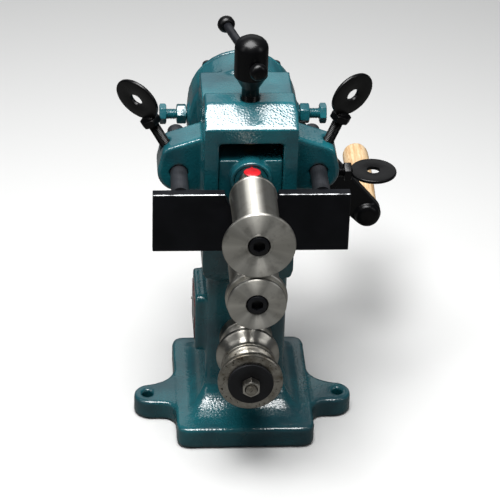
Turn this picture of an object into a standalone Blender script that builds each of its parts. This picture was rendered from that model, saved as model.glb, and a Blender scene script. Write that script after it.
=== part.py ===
"""Hand-cranked bench rotary machine (bead roller and swager) for sheet metal.

Two geared shafts carry the forming rolls. The upper shaft runs in a block that
slides in the yoke window and in a block that rocks on two pivot bolts at the
rear, so the pressure screw closes or opens the rolls. A crank turns the upper
shaft. X is to the right seen from the rolls, Y runs back along the shafts from
the yoke's front face, Z is up from the underside of the base. Sizes are in
millimetres until finish() turns them into metres.
"""

import math

import bmesh
import bpy
from mathutils import Matrix, Vector

MM = 0.001
GAP = 0.3  # between pieces that touch or fit
RUN = 0.35  # radial clearance of a turning or sliding fit
PIERCE = 2.0  # how far a cutter runs past the face that it opens

# Shafts and rolls
SHAFT_SPACING = 60.0
LOWER_Z = 210.0
UPPER_Z = LOWER_Z + SHAFT_SPACING
ROLL_LENGTH = 85.0
ROLL_FACE_Y = -119.0
ROLL_BACK_Y = ROLL_FACE_Y + ROLL_LENGTH
FLANGE_D = 64.0
FLANGE_W = 3.5
UPPER_BODY_D = 42.0
UPPER_NOSE_D = 40.0
LOWER_DISC_D = 52.0
LOWER_RIM_D = 55.0
LOWER_BODY_D = 44.0
JOURNAL_D = 22.0
SPIGOT_D = 17.0
COLLAR_D = 26.0
COUNTERBORE_D = 20.0
COUNTERBORE_DEPTH = 11.0
ROLL_SCREW_D = 10.0
ROLL_SCREW_HEAD_D = 18.0
ROLL_SCREW_HEAD_H = 12.0
HEX_SOCKET = 10.0
KEY_W = 5.0

# Base and column
BASE_W = 130.0
BASE_FRONT_Y = -44.0
BASE_D = 160.0
BASE_T = 22.0
BASE_CORNER = 11.0
EAR_HOLE_X = 91.5
EAR_HOLE_Y = 21.0
EAR_HOLE_D = 11.0
EAR_TIP_R = 16.0
EAR_ROOT = (-17.0, 66.0)
EAR_FILLET = (13.0, 26.0)
EAR_T = 20.0
COLUMN_W = 75.0
COLUMN_FRONT_Y = 3.0
COLUMN_D = 78.0
COLUMN_CORNER = 8.0
FOOT_FRONT = 38.0
FOOT_SIDE = 22.0
FOOT_BACK = 30.0
FOOT_H = 26.0
PLATE_PAD_T = 10.0
PLATE_PAD = (10.0, 68.0, 74.0, 135.0)  # Y from, Y to, Z from, Z to

# Head
HEAD_W = 84.0
HEAD_BOTTOM = 161.0
HEAD_TOP = 332.0
FACE_TOP = 319.0
SLOPE_D = 27.0
YOKE_D = 48.0
NECK_TOP = 318.0
HEAD_CORNER = 8.0
WINDOW_W = 58.0
WINDOW_FLOOR = 236.0
WINDOW_TOP = 304.0
WINDOW_D = 54.0
TUNNEL_W = 40.0
TUNNEL_Z = (252.0, 290.0)
LOWER_BOSS_D = 53.0
LOWER_BOSS_L = 8.0

# Gear housing
HOUSING_R = 52.0
HOUSING_FRONT_Y = 110.0
HOUSING_BACK_Y = 151.0
CHAMBER_R = 40.0
CHAMBER_FRONT_Y = 129.5
COVER_T = 5.0
COVER_SCREW_R = 46.0
COVER_SCREW_D = 6.0
PIVOT_Y = 122.0
PIVOT_CHAMBER = (42.0, 23.0)  # half width, half height
PIVOT_BOLT_D = 10.0
PIVOT_TIP_D = 8.0
PIVOT_BOSS_X = 53.5
HEX_10 = 17.0  # across flats of an M10 nut or head
HEX_12 = 19.0

# Blocks that carry the upper shaft
BLOCK_Y = (2.5, 50.0)
BLOCK_Z = (243.0, 286.0)
BLOCK_BOSS_D = 37.5
BLOCK_BOSS_Y = -7.0
ROCKER_W = 48.0
ROCKER_H = 36.0
ROCKER_Y = (114.0, 130.0)
BUSH_OD = 30.0
BACK_BUSH_Y = 133.0
BACK_JOURNAL_D = 20.0
OIL_CAP_D = 15.5
OIL_CAP_RISE = 15.0  # above the shaft's axis
OIL_CAP_LEAN = math.radians(10)
GEAR_SEAT_D = 18.0
CRANK_SEAT_D = 16.0

# Springs that lift the front block
SPRING_X = 21.0
SPRING_Y = 26.0
SPRING_D = 10.5
SPRING_WIRE_D = 1.6
SPRING_TURNS = 5
SPRING_FLOOR = 218.0

# Gears
TEETH = 15
GEAR_Y = (133.3, 147.3)
ADDENDUM = 2.7
DEDENDUM = 5.6
TOOTH_AT_PITCH = 4.6
PRESSURE_ANGLE = math.radians(20)

# Pressure screw and its bar
SCREW_Y = 37.0
SCREW_D = 16.0
SCREW_HEAD_D = 30.5
SCREW_NECK_TOP = 338.5
SCREW_SHOULDER = 352.0
SCREW_CYLINDER_TOP = 382.5
SCREW_TOP = 393.5
PAD_D = 18.0
PAD_H = 4.7
BAR_Z = 368.5
BAR_D = 8.0
BAR_LENGTH = 99.0  # between the centres of its two knobs
BAR_KNOB_D = 16.0
BAR_KNOB_W = 10.0
BAR_KNOB_WEB = 3.0
BAR_TURN = math.radians(13.8)

# Gauge
ROD_X = 64.0
ROD_Z = 260.0
ROD_D = 16.0
ROD_BACK_Y = 107.0
LUG_Y = (26.0, 60.0)
LUG_R = 19.5
GAUGE_W = 178.0
GAUGE_Z = (207.0, 266.0)
GAUGE_Y = (-24.0, -14.0)
NOTCH_W = 50.0
ROD_SPIGOT_D = 8.0
ROD_SPIGOT_L = 7.0

# Thumb screws
THUMB_D = 10.0
THUMB_HEAD_FROM = 49.0
THUMB_HEAD_H = 7.0
THUMB_DISC_R = 22.5
THUMB_DISC_T = 3.5
THUMB_HOLE_D = 12.5
LEFT_LEAN = math.radians(29)
RIGHT_LEAN = math.radians(22)
LEFT_TWIST = math.radians(42)
RIGHT_TWIST = math.radians(-35)
SHAFT_LOCK_Y = 115.0
SHAFT_LOCK_HEAD_X = 98.0
SHAFT_LOCK_BOSS = (22.0, 64.0)  # diameter, end X

# Crank
CRANK_RADIUS = 190.0
CRANK_ANGLE = math.radians(-46.8)
CRANK_Y = (166.0, 180.0)
CRANK_HUB_Y = (162.0, 184.0)
CRANK_HUB_R = 23.0
CRANK_END_R = 14.0
CRANK_BOSS_RISE = 7.0
GRIP_Y = (186.0, 293.0)
GRIP_R = 13.3
SPINDLE_D = 10.0

# Stored rolls
STUD_Z = 96.5
STUD_D = 10.0
STORED_FACE_Y = -74.0
STORED_SPLIT_Y = -44.0
STORED_BORE_D = 17.0
WASHER_D = 42.0
WASHER_T = 3.0

TEAL = (0.012, 0.13, 0.15)
STEEL = (0.55, 0.54, 0.51)
DARK = (0.02, 0.02, 0.022)
BLACK = (0.008, 0.008, 0.009)
BRONZE = (0.42, 0.27, 0.11)
BEECH = (0.72, 0.48, 0.27)
RED = (0.6, 0.01, 0.015)


def clear_scene():
    for obj in list(bpy.data.objects):
        bpy.data.objects.remove(obj, do_unlink=True)


def material(name, colour, roughness, metallic):
    found = bpy.data.materials.get(name)
    if found:
        return found
    made = bpy.data.materials.new(name)
    made.use_nodes = True
    shader = made.node_tree.nodes["Principled BSDF"]
    shader.inputs["Base Color"].default_value = (*colour, 1)
    shader.inputs["Roughness"].default_value = roughness
    shader.inputs["Metallic"].default_value = metallic
    return made


def finish(name, bm, look, origin=(0, 0, 0), turn=None, bevel=0.0, segments=2):
    """Makes an object of bm, whose points are in mm. Without turn they are world points and
    origin becomes the object's origin; with turn they are local points, turned and moved there."""
    origin = Vector(origin)
    if turn is None:
        bmesh.ops.translate(bm, verts=bm.verts, vec=-origin)
    bmesh.ops.scale(bm, verts=bm.verts, vec=(MM, MM, MM))
    bmesh.ops.recalc_face_normals(bm, faces=bm.faces)
    mesh = bpy.data.meshes.new(name)
    bm.to_mesh(mesh)
    bm.free()
    mesh.materials.append(look)
    mesh.shade_smooth()
    mesh.set_sharp_from_angle(angle=math.radians(35))
    obj = bpy.data.objects.new(name, mesh)
    bpy.context.scene.collection.objects.link(obj)
    obj.matrix_world = Matrix.Translation(origin * MM) @ (turn or Matrix.Identity(4))
    if bevel:
        rounding = obj.modifiers.new("rounding", "BEVEL")
        rounding.width = bevel * MM
        rounding.segments = segments
        rounding.limit_method = "ANGLE"
        rounding.angle_limit = math.radians(50)
    return obj


def hide(obj):
    obj.hide_render = True
    obj.display_type = "WIRE"


def combine(target, other, operation, solver="EXACT"):
    """Joins other to target, or cuts it away, and hides it."""
    hide(other)
    step = target.modifiers.new(other.name, "BOOLEAN")
    step.operation = operation
    step.solver = solver
    step.object = other


def cut(target, *cutters):
    for cutter in cutters:
        combine(target, cutter, "DIFFERENCE")


def cut_casting(casting, *cutters):
    """Cuts the big casting, whose many flush faces leave the exact solver with open edges."""
    for cutter in cutters:
        combine(casting, cutter, "DIFFERENCE", "MANIFOLD")


def join(target, *others):
    for other in others:
        combine(target, other, "UNION")


def fillet(points, steps=4):
    """A closed outline of (x, y, radius) corners, with each radius drawn as an arc."""
    outline = []
    count = len(points)
    for i, (x, y, radius) in enumerate(points):
        corner = Vector((x, y))
        if not radius:
            outline.append(corner)
            continue
        before = (Vector(points[i - 1][:2]) - corner).normalized()
        after = (Vector(points[(i + 1) % count][:2]) - corner).normalized()
        half = before.angle(after) / 2
        centre = corner + (before + after).normalized() * radius / math.sin(half)
        start = corner + before * radius / math.tan(half) - centre
        sweep = (corner + after * radius / math.tan(half) - centre).angle_signed(start)
        for step in range(steps + 1):
            outline.append(centre + start @ Matrix.Rotation(-sweep * step / steps, 2))
    return outline


def arc(x, y, radius, start, end, steps):
    turns = [math.radians(start + (end - start) * i / steps) for i in range(steps + 1)]
    return [Vector((x + radius * math.cos(t), y + radius * math.sin(t))) for t in turns]


def rectangle(x0, x1, y0, y1, radius=0.0):
    return fillet([(x0, y0, radius), (x1, y0, radius), (x1, y1, radius), (x0, y1, radius)])


AXES = {
    "X": Matrix(((0, 0, 1), (1, 0, 0), (0, 1, 0))),  # outline in Y and Z, depth along X
    "Y": Matrix(((1, 0, 0), (0, 0, 1), (0, 1, 0))),  # outline in X and Z, depth along Y
    "Z": Matrix.Identity(3),  # outline in X and Y, depth along Z
}


def extruded(outline, axis, low, high):
    """A prism: the outline, drawn across axis, from low to high along it."""
    bm = bmesh.new()
    turn = AXES[axis]
    verts = [bm.verts.new(turn @ Vector((p[0], p[1], low))) for p in outline]
    face = bm.faces.new(verts)
    grown = bmesh.ops.extrude_face_region(bm, geom=[face])
    moved = [item for item in grown["geom"] if isinstance(item, bmesh.types.BMVert)]
    bmesh.ops.translate(bm, verts=moved, vec=turn @ Vector((0, 0, high - low)))
    return bm


def turned(profile, axis="Y", centre=(0, 0), segments=24):
    """A turned solid: the closed loop profile of (radius, place along axis), about the axis
    through centre. Points at radius 0 close its ends."""
    bm = bmesh.new()
    verts = [bm.verts.new((r, 0, t)) for r, t in profile]
    edges = []
    for i, (radius, _) in enumerate(profile):
        if radius or profile[i - 1][0]:
            edges.append(bm.edges.new((verts[i - 1], verts[i])))
    bmesh.ops.spin(bm, geom=verts + edges, cent=(0, 0, 0), axis=(0, 0, 1), angle=math.tau, steps=segments)
    bmesh.ops.remove_doubles(bm, verts=bm.verts, dist=1e-3)
    bmesh.ops.translate(bm, verts=bm.verts, vec=(*centre, 0))
    bmesh.ops.transform(bm, matrix=AXES[axis].to_4x4(), verts=bm.verts)
    return bm


def rod_profile(radius, low, high, chamfer=0.0):
    if not chamfer:
        return [(0, low), (radius, low), (radius, high), (0, high)]
    inner = radius - chamfer
    return [
        (0, low),
        (inner, low),
        (radius, low + chamfer),
        (radius, high - chamfer),
        (inner, high),
        (0, high),
    ]


def tube_profile(inner, outer, low, high):
    return [(inner, low), (outer, low), (outer, high), (inner, high)]


def cylinder(name, look, diameter, axis, centre, low, high, segments=24, chamfer=0.0):
    bm = turned(rod_profile(diameter / 2, low, high, chamfer), axis, centre, segments)
    return finish(name, bm, look)


def steps_profile(steps):
    """A stepped shaft's profile, from (radius, from, to) along its axis."""
    profile = [(0, steps[0][1])]
    for radius, low, high in steps:
        profile += [(radius, low), (radius, high)]
    return profile + [(0, steps[-1][2])]


def hexagon(across, x=0.0, y=0.0, turn=0.0):
    radius = across / 2 / math.cos(math.pi / 6)
    turns = [turn + math.tau * i / 6 for i in range(6)]
    return [Vector((x + radius * math.cos(t), y + radius * math.sin(t))) for t in turns]


def drill(name, diameter, axis, centre, low, high, segments=20):
    return cylinder(name, looks["cutter"], diameter, axis, centre, low, high, segments)


def box_cutter(name, x, y, z, radius=0.0):
    return finish(name, extruded(rectangle(x[0], x[1], z[0], z[1], radius), "Y", *y), looks["cutter"])


def obround(radius, steps=16):
    """The outline round both shafts at one radius, in X and Z."""
    top = arc(0, UPPER_Z, radius, 0, 180, steps)
    return top + arc(0, LOWER_Z, radius, 180, 360, steps)


def base_plate():
    low, high = BASE_FRONT_Y, BASE_FRONT_Y + BASE_D
    side = BASE_W / 2
    body = extruded(rectangle(-side, side, low, high, BASE_CORNER), "Z", 0, BASE_T)
    plate = finish("frame_casting", body, looks["teal"], bevel=3)
    for sign, word in ((-1, "left"), (1, "right")):
        tip = EAR_HOLE_X - 3
        near, far = EAR_HOLE_Y - EAR_TIP_R, EAR_HOLE_Y + EAR_TIP_R
        inside = side - 2 * BASE_CORNER
        front = [
            (inside, EAR_ROOT[0], 0), (side, EAR_ROOT[0], 0), (side + 1, near, EAR_FILLET[0]),
            (tip, near, 0),
        ]
        back = [
            (tip, far, 0), (side, far + 8, EAR_FILLET[1]), (side, EAR_ROOT[1], 0),
            (inside, EAR_ROOT[1], 0),
        ]
        rounded = fillet(front + back, 5)
        seam = min(range(len(rounded)), key=lambda i: (rounded[i] - Vector((tip, near))).length)
        outline = rounded[: seam + 1] + arc(tip, EAR_HOLE_Y, EAR_TIP_R, -80, 80, 8) + rounded[seam + 1 :]
        outline = [Vector((sign * p.x, p.y)) for p in outline]
        ear = finish("ear_" + word, extruded(outline, "Z", 0, EAR_T), looks["teal"], bevel=2)
        join(plate, ear)
    return plate


def column():
    """The upright, which sweeps out at its foot in a hollow curve, furthest at the front."""
    side = COLUMN_W / 2
    rings = [(1.0, BASE_T - 5)]
    for step in range(7):
        turn = math.radians(90 * step / 6)
        rings.append((1 - math.sin(turn), BASE_T + FOOT_H * (1 - math.cos(turn))))
    rings.append((0.0, HEAD_BOTTOM + 6))
    bm = bmesh.new()
    loops = []
    for grow, z in rings:
        low = COLUMN_FRONT_Y - grow * FOOT_FRONT
        high = COLUMN_FRONT_Y + COLUMN_D + grow * FOOT_BACK
        wide = side + grow * FOOT_SIDE
        outline = rectangle(-wide, wide, low, high, COLUMN_CORNER)
        loops.append([bm.verts.new((p.x, p.y, z)) for p in outline])
    for lower, upper in zip(loops, loops[1:]):
        for i in range(len(lower)):
            bm.faces.new((lower[i - 1], lower[i], upper[i], upper[i - 1]))
    bm.faces.new(loops[0])
    bm.faces.new(loops[-1])
    return finish("column", bm, looks["teal"])


def head():
    """The yoke and neck: one bar with rounded lower edges, whose top is cut to a sloping brow,
    a flat for the pressure screw and a lower neck behind it."""
    side = HEAD_W / 2
    outline = fillet(
        [
            (-side, HEAD_BOTTOM, HEAD_CORNER),
            (side, HEAD_BOTTOM, HEAD_CORNER),
            (side, HEAD_TOP, 4),
            (-side, HEAD_TOP, 4),
        ]
    )
    bar = finish("head", extruded(outline, "Y", 0, HOUSING_FRONT_Y + 6), looks["teal"])
    rise = (HEAD_TOP - FACE_TOP) / SLOPE_D
    over = HEAD_TOP + 10
    brow = [(-10, over), (-10, FACE_TOP - 10 * rise), (SLOPE_D + 10 / rise, over)]
    step = fillet(
        [
            (YOKE_D, over, 0), (YOKE_D, NECK_TOP, 3), (HOUSING_FRONT_Y + 20, NECK_TOP, 0),
            (HOUSING_FRONT_Y + 20, over, 0),
        ]
    )
    cut(
        bar,
        finish("brow_cut", extruded([Vector(p) for p in brow], "X", -side - 5, side + 5), looks["cutter"]),
        finish("neck_cut", extruded(step, "X", -side - 5, side + 5), looks["cutter"]),
    )
    return bar


def rod_lug(word, sign):
    """The lug that a gauge rod slides in, with a shoulder for its thumb screw."""
    inside = HEAD_W / 2 - 6
    outline = [
        Vector((inside, ROD_Z - LUG_R)), Vector((inside, ROD_Z + 37)),
        Vector((HEAD_W / 2 + 2, ROD_Z + 36)),
    ]
    outline += fillet(
        [(ROD_X - 6, ROD_Z + 31, 0), (ROD_X + 14.5, ROD_Z + 24, 9), (ROD_X + LUG_R, ROD_Z + 2, 0)]
    )
    outline += arc(ROD_X, ROD_Z, LUG_R, 0, -90, 8)
    outline = [Vector((sign * p.x, p.y)) for p in outline]
    return finish("lug_" + word, extruded(outline, "Y", *LUG_Y), looks["teal"], bevel=2)


def thumb_axis(sign, lean):
    """A frame whose +Z runs up a rod's thumb screw and whose origin is on the rod."""
    middle = (LUG_Y[0] + LUG_Y[1]) / 2
    return Vector((sign * ROD_X, middle, ROD_Z)), Matrix.Rotation(sign * lean, 4, "Y")


def frame_casting():
    frame = base_plate()
    pad_y0, pad_y1, pad_z0, pad_z1 = PLATE_PAD
    side = COLUMN_W / 2
    pad = extruded(rectangle(pad_y0, pad_y1, pad_z0, pad_z1, 6), "X", -side - PLATE_PAD_T, -side + 5)
    join(frame, column())
    join(frame, head())
    housing = extruded(obround(HOUSING_R), "Y", HOUSING_FRONT_Y, HOUSING_BACK_Y)
    join(frame, finish("housing", housing, looks["teal"], bevel=3))
    join(frame, finish("plate_pad", pad, looks["teal"], bevel=2))
    join(frame, cylinder("lower_boss", looks["teal"], LOWER_BOSS_D, "Y", (0, LOWER_Z), -LOWER_BOSS_L, 8, 32))
    boss_d, boss_x = SHAFT_LOCK_BOSS
    join(frame, cylinder("lock_boss", looks["teal"], boss_d, "X", (SHAFT_LOCK_Y, LOWER_Z), 40, boss_x))
    for sign, word, lean in ((-1, "left", LEFT_LEAN), (1, "right", RIGHT_LEAN)):
        join(frame, rod_lug(word, sign))
        ends = sorted((sign * (HOUSING_R - 8), sign * PIVOT_BOSS_X))
        join(frame, cylinder("pivot_boss_" + word, looks["teal"], 20, "X", (PIVOT_Y, UPPER_Z), *ends))
    cut_frame(frame)
    return frame


def cut_frame(frame):
    half = WINDOW_W / 2
    cut_casting(
        frame,
        box_cutter("window", (-half, half), (-PIERCE, WINDOW_D), (WINDOW_FLOOR, WINDOW_TOP), 2),
        box_cutter("tunnel", (-TUNNEL_W / 2, TUNNEL_W / 2), (WINDOW_D - 4, PIVOT_Y), TUNNEL_Z),
    )
    wide, tall = PIVOT_CHAMBER
    rocker_y = (ROCKER_Y[0] - 3, CHAMBER_FRONT_Y + PIERCE)
    chamber = extruded(obround(CHAMBER_R, 12), "Y", CHAMBER_FRONT_Y, HOUSING_BACK_Y + PIERCE)
    cut_casting(
        frame,
        box_cutter("rocker_chamber", (-wide, wide), rocker_y, (UPPER_Z - tall, UPPER_Z + tall)),
        finish("gear_chamber", chamber, looks["cutter"]),
        drill(
            "lower_bore",
            BUSH_OD + 2 * GAP,
            "Y",
            (0, LOWER_Z),
            -LOWER_BOSS_L - PIERCE,
            CHAMBER_FRONT_Y + PIERCE,
        ),
        drill("screw_bore", SCREW_D + 2 * RUN, "Z", (0, SCREW_Y), WINDOW_TOP - PIERCE, HEAD_TOP + PIERCE),
        drill("stud_bore", STUD_D + 2 * GAP, "Y", (0, STUD_Z), -PIERCE, COLUMN_FRONT_Y + 16, 16),
        drill(
            "lock_bore",
            THUMB_D + 2 * RUN,
            "X",
            (SHAFT_LOCK_Y, LOWER_Z),
            BUSH_OD / 2 - 2,
            SHAFT_LOCK_BOSS[1] + PIERCE,
            16,
        ),
    )
    for sign, word, lean in ((-1, "left", LEFT_LEAN), (1, "right", RIGHT_LEAN)):
        hole = (sign * EAR_HOLE_X, EAR_HOLE_Y)
        ends = sorted((sign * (wide - PIERCE), sign * (PIVOT_BOSS_X + PIERCE)))
        seat = (sign * SPRING_X, SPRING_Y)
        where, turn = thumb_axis(sign, lean)
        thread = turned(rod_profile(THUMB_D / 2 + RUN, 0, 45), "Z", (0, 0), 16)
        cut_casting(
            frame,
            drill("ear_hole_" + word, EAR_HOLE_D, "Z", hole, -PIERCE, BASE_T + PIERCE),
            drill(
                "rod_bore_" + word,
                ROD_D + 2 * RUN,
                "Y",
                (sign * ROD_X, ROD_Z),
                LUG_Y[0] - PIERCE,
                LUG_Y[1] + PIERCE,
            ),
            drill("pivot_bore_" + word, PIVOT_BOLT_D + 2 * GAP, "X", (PIVOT_Y, UPPER_Z), *ends, 16),
            drill("spring_seat_" + word, SPRING_D + 2.5, "Z", seat, SPRING_FLOOR, WINDOW_FLOOR + PIERCE, 16),
            finish("thumb_bore_" + word, thread, looks["cutter"], where, turn),
        )
    for i, (x, z) in enumerate(cover_screw_places()):
        depth = HOUSING_BACK_Y - 14
        cut_casting(
            frame,
            drill(
                f"cover_thread_{i}",
                COVER_SCREW_D + 2 * GAP,
                "Y",
                (x, z),
                depth,
                HOUSING_BACK_Y + PIERCE,
                12,
            ),
        )


def cover_screw_places():
    reach = COVER_SCREW_R * math.cos(math.pi / 4)
    return [(x, z) for z in (UPPER_Z + reach, LOWER_Z - reach) for x in (-reach, reach)]


def gear_cover():
    back = HOUSING_BACK_Y + GAP
    cover = finish(
        "gear_cover",
        extruded(obround(HOUSING_R - 1), "Y", back, back + COVER_T),
        looks["teal"],
        bevel=1.2,
    )
    cut(cover, drill("cover_bore", 32, "Y", (0, UPPER_Z), back - PIERCE, back + COVER_T + PIERCE))
    for i, (x, z) in enumerate(cover_screw_places()):
        hole = drill(
            f"cover_hole_{i}",
            COVER_SCREW_D + 2 * GAP,
            "Y",
            (x, z),
            back - PIERCE,
            back + COVER_T + PIERCE,
            12,
        )
        cut(cover, hole)
        radius = COVER_SCREW_D / 2
        head = back + COVER_T + GAP
        profile = [
            (0, HOUSING_BACK_Y - 12), (radius, HOUSING_BACK_Y - 12), (radius, head), (5, head),
            (5, head + 3), (3.5, head + 5), (0, head + 5),
        ]
        finish(f"gear_cover_screw_{i + 1}", turned(profile, "Y", (x, z), 12), looks["dark"])


def helix(radius, wire, turns, low, high, centre, per_turn=8, sides=5):
    """A coil spring's wire as a closed tube about a vertical axis."""
    bm = bmesh.new()
    count = per_turn * turns
    rings = []
    for i in range(count + 1):
        turn = math.tau * i / per_turn
        out = Vector((math.cos(turn), math.sin(turn), 0))
        middle = Vector((*centre, low + wire / 2 + (high - low - wire) * i / count)) + out * radius
        sweep = [math.tau * k / sides for k in range(sides)]
        rings.append(
            [
                bm.verts.new(
                    middle + (out * math.cos(s) + Vector((0, 0, math.sin(s)))) * wire / 2
                ) for s in sweep
            ]
        )
    for first, second in zip(rings, rings[1:]):
        for k in range(sides):
            bm.faces.new((first[k - 1], first[k], second[k], second[k - 1]))
    bm.faces.new(rings[0])
    bm.faces.new(rings[-1])
    return bm


def upper_blocks():
    """The front block that slides in the window, the rocker at the rear, and their bushes."""
    pivot = (0, PIVOT_Y, UPPER_Z)
    half = WINDOW_W / 2 - GAP
    outline = rectangle(-half, half, *BLOCK_Z, 1.5)
    front = finish("upper_front_block", extruded(outline, "Y", *BLOCK_Y), looks["teal"], pivot)
    boss = cylinder(
        "block_boss",
        looks["teal"],
        BLOCK_BOSS_D,
        "Y",
        (0, UPPER_Z),
        BLOCK_BOSS_Y,
        BLOCK_Y[0] + 5,
        32,
    )
    join(front, boss)
    cut(
        front,
        drill(
            "block_bore",
            BUSH_OD + 2 * GAP,
            "Y",
            (0, UPPER_Z),
            BLOCK_BOSS_Y - PIERCE,
            BLOCK_Y[1] + PIERCE,
        ),
    )
    sleeve = tube_profile(JOURNAL_D / 2 + RUN, BUSH_OD / 2, BLOCK_BOSS_Y, BLOCK_Y[1])
    finish("upper_front_bush", turned(sleeve, "Y", (0, UPPER_Z), 20), looks["bronze"], pivot)

    outline = rectangle(-ROCKER_W / 2, ROCKER_W / 2, UPPER_Z - ROCKER_H / 2, UPPER_Z + ROCKER_H / 2, 4)
    rocker = finish("upper_rear_block", extruded(outline, "Y", *ROCKER_Y), looks["dark"], pivot)
    cut(
        rocker,
        drill(
            "rocker_bore",
            BUSH_OD - 2 + 2 * GAP,
            "Y",
            (0, UPPER_Z),
            ROCKER_Y[0] - PIERCE,
            ROCKER_Y[1] + PIERCE,
        ),
    )
    for sign, word in ((-1, "left"), (1, "right")):
        ends = sorted((sign * (ROCKER_W / 2 - 6.5), sign * (ROCKER_W / 2 + PIERCE)))
        cut(rocker, drill("pivot_socket_" + word, PIVOT_TIP_D + 2 * GAP, "X", (PIVOT_Y, UPPER_Z), *ends, 16))
    sleeve = tube_profile(BACK_JOURNAL_D / 2 + RUN, BUSH_OD / 2 - 1, ROCKER_Y[0], BACK_BUSH_Y)
    finish("upper_rear_bush", turned(sleeve, "Y", (0, UPPER_Z), 20), looks["bronze"], pivot)

    face, height = BLOCK_BOSS_Y - GAP, UPPER_Z + OIL_CAP_RISE
    stem = turned(rod_profile(2.5, face - 6, face, 0.5), "Y", (0, height), 12)
    oiler = finish("oil_cap", stem, looks["red"], pivot)
    radius = OIL_CAP_D / 2
    dome = [
        (0, -2), (radius - 2, -2), (radius, -0.5), (radius, 1), (radius * 0.8, 2),
        (radius * 0.4, 2.6), (0, 2.8),
    ]
    lean = Matrix.Rotation(OIL_CAP_LEAN, 4, "X")
    join(
        oiler,
        finish(
            "oil_dome",
            turned(dome, "Z", (0, 0), 16),
            looks["red"],
            (0, face - radius - 0.6, height),
            lean,
        ),
    )


def pivot_bolts():
    for sign, word in ((-1, "left"), (1, "right")):
        tip = ROCKER_W / 2 - 6
        nut = PIVOT_BOSS_X + GAP
        head = 72.5
        shape = steps_profile(
            [
                (PIVOT_TIP_D / 2, tip, ROCKER_W / 2 + GAP),
                (PIVOT_BOLT_D / 2, ROCKER_W / 2 + GAP, head + 1),
            ]
        )
        shape = [(r, sign * t) for r, t in shape]
        bolt = finish("pivot_bolt_" + word, turned(shape, "X", (PIVOT_Y, UPPER_Z), 16), looks["teal"])
        ends = sorted((sign * head, sign * (head + 6.5)))
        join(
            bolt,
            finish(
                "bolt_head_" + word,
                extruded(hexagon(HEX_10, PIVOT_Y, UPPER_Z, 0.2), "X", *ends),
                looks["teal"],
            ),
        )
        ends = sorted((sign * nut, sign * (nut + 9)))
        body = finish(
            "pivot_nut_" + word,
            extruded(hexagon(HEX_10, PIVOT_Y, UPPER_Z, 0.5), "X", *ends),
            looks["teal"],
        )
        hole = sorted((sign * (nut - PIERCE), sign * (nut + 9 + PIERCE)))
        cut(body, drill("nut_bore_" + word, PIVOT_BOLT_D + 2 * GAP, "X", (PIVOT_Y, UPPER_Z), *hole, 16))


def key_and_slots(name, z, radius, low, high, shaft, wheel):
    """A key in the top of a shaft, its slot in the shaft and its slot in what the shaft carries."""
    half = KEY_W / 2
    floor, roof = z + radius - 2.5, z + radius + 2.0
    key = extruded(rectangle(-half, half, floor, roof), "Y", low, high)
    finish(name, key, looks["steel"], (0, 0, z))
    wide = half + GAP
    ends = (low - GAP, high + GAP)
    cut(shaft, box_cutter(name + "_shaft_slot", (-wide, wide), ends, (floor - GAP, roof + 5)))
    cut(
        wheel,
        box_cutter(
            name + "_wheel_slot", (-wide, wide), (low - 60, high + 60), (z + radius - 4, roof + GAP)
        ),
    )


def roll_screw(name, z):
    """The socket-head screw that holds a roll on the end of its shaft."""
    face = ROLL_FACE_Y + COUNTERBORE_DEPTH - GAP
    front = face - ROLL_SCREW_HEAD_H
    head = ROLL_SCREW_HEAD_D / 2
    shank = ROLL_SCREW_D / 2
    shape = [
        (0, front), (head - 1, front), (head, front + 1), (head, face), (shank, face),
        (shank, face + 26), (0, face + 26),
    ]
    screw = finish(name, turned(shape, "Y", (0, z), 24), looks["black"], (0, 0, z))
    socket = extruded(hexagon(HEX_SOCKET, 0, z), "Y", front - PIERCE, front + 6.5)
    cut(screw, finish(name + "_socket", socket, looks["cutter"]))


def roll(name, z, outer):
    """A forming roll: outer is its outline, (diameter, Y) from the back to the front."""
    web = ROLL_FACE_Y + COUNTERBORE_DEPTH
    seat = SPIGOT_D / 2 + GAP
    hole = ROLL_SCREW_D / 2 + GAP
    bore = COUNTERBORE_D / 2
    inner = [
        (bore, ROLL_FACE_Y), (bore, web), (hole, web), (hole, web + 4), (seat, web + 4),
        (seat, ROLL_BACK_Y),
    ]
    loop = [(d / 2, y) for d, y in outer] + inner
    return finish(name, turned(loop, "Y", (0, z), 28), looks["steel"], (0, 0, z))


def shaft_front(z):
    """The stretch both shafts share: the roll's spigot and the collar behind the roll."""
    start = ROLL_FACE_Y + COUNTERBORE_DEPTH + 4 + GAP
    collar = ROLL_BACK_Y + GAP
    return [(SPIGOT_D / 2, start, collar), (COLLAR_D / 2, collar, collar + 6)]


def screw_thread_hole(name, shaft, z):
    start = ROLL_FACE_Y + COUNTERBORE_DEPTH
    cut(shaft, drill(name, ROLL_SCREW_D + 2 * GAP, "Y", (0, z), start, start + 28, 16))


def gear(name, z):
    """A spur gear whose teeth have straight flanks and generous backlash, so that it can
    stay in mesh while the upper shaft rocks."""
    pitch = SHAFT_SPACING / 2
    slope = math.tan(PRESSURE_ANGLE)
    root = (pitch - DEDENDUM, TOOTH_AT_PITCH / 2 + DEDENDUM * slope)
    tip = (pitch + ADDENDUM, TOOTH_AT_PITCH / 2 - ADDENDUM * slope)
    outline = []
    for tooth in range(TEETH):
        middle = math.tau * tooth / TEETH + math.pi / 2
        for (radius, half), side in ((root, -1), (tip, -1), (tip, 1), (root, 1)):
            turn = middle + side * half / radius
            outline.append(Vector((radius * math.cos(turn), z + radius * math.sin(turn))))
    wheel = finish(name, extruded(outline, "Y", *GEAR_Y), looks["dark"], (0, 0, z))
    cut(
        wheel,
        drill(
            name + "_bore",
            GEAR_SEAT_D + 2 * GAP,
            "Y",
            (0, z),
            GEAR_Y[0] - PIERCE,
            GEAR_Y[1] + PIERCE,
        ),
    )
    return wheel


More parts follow.
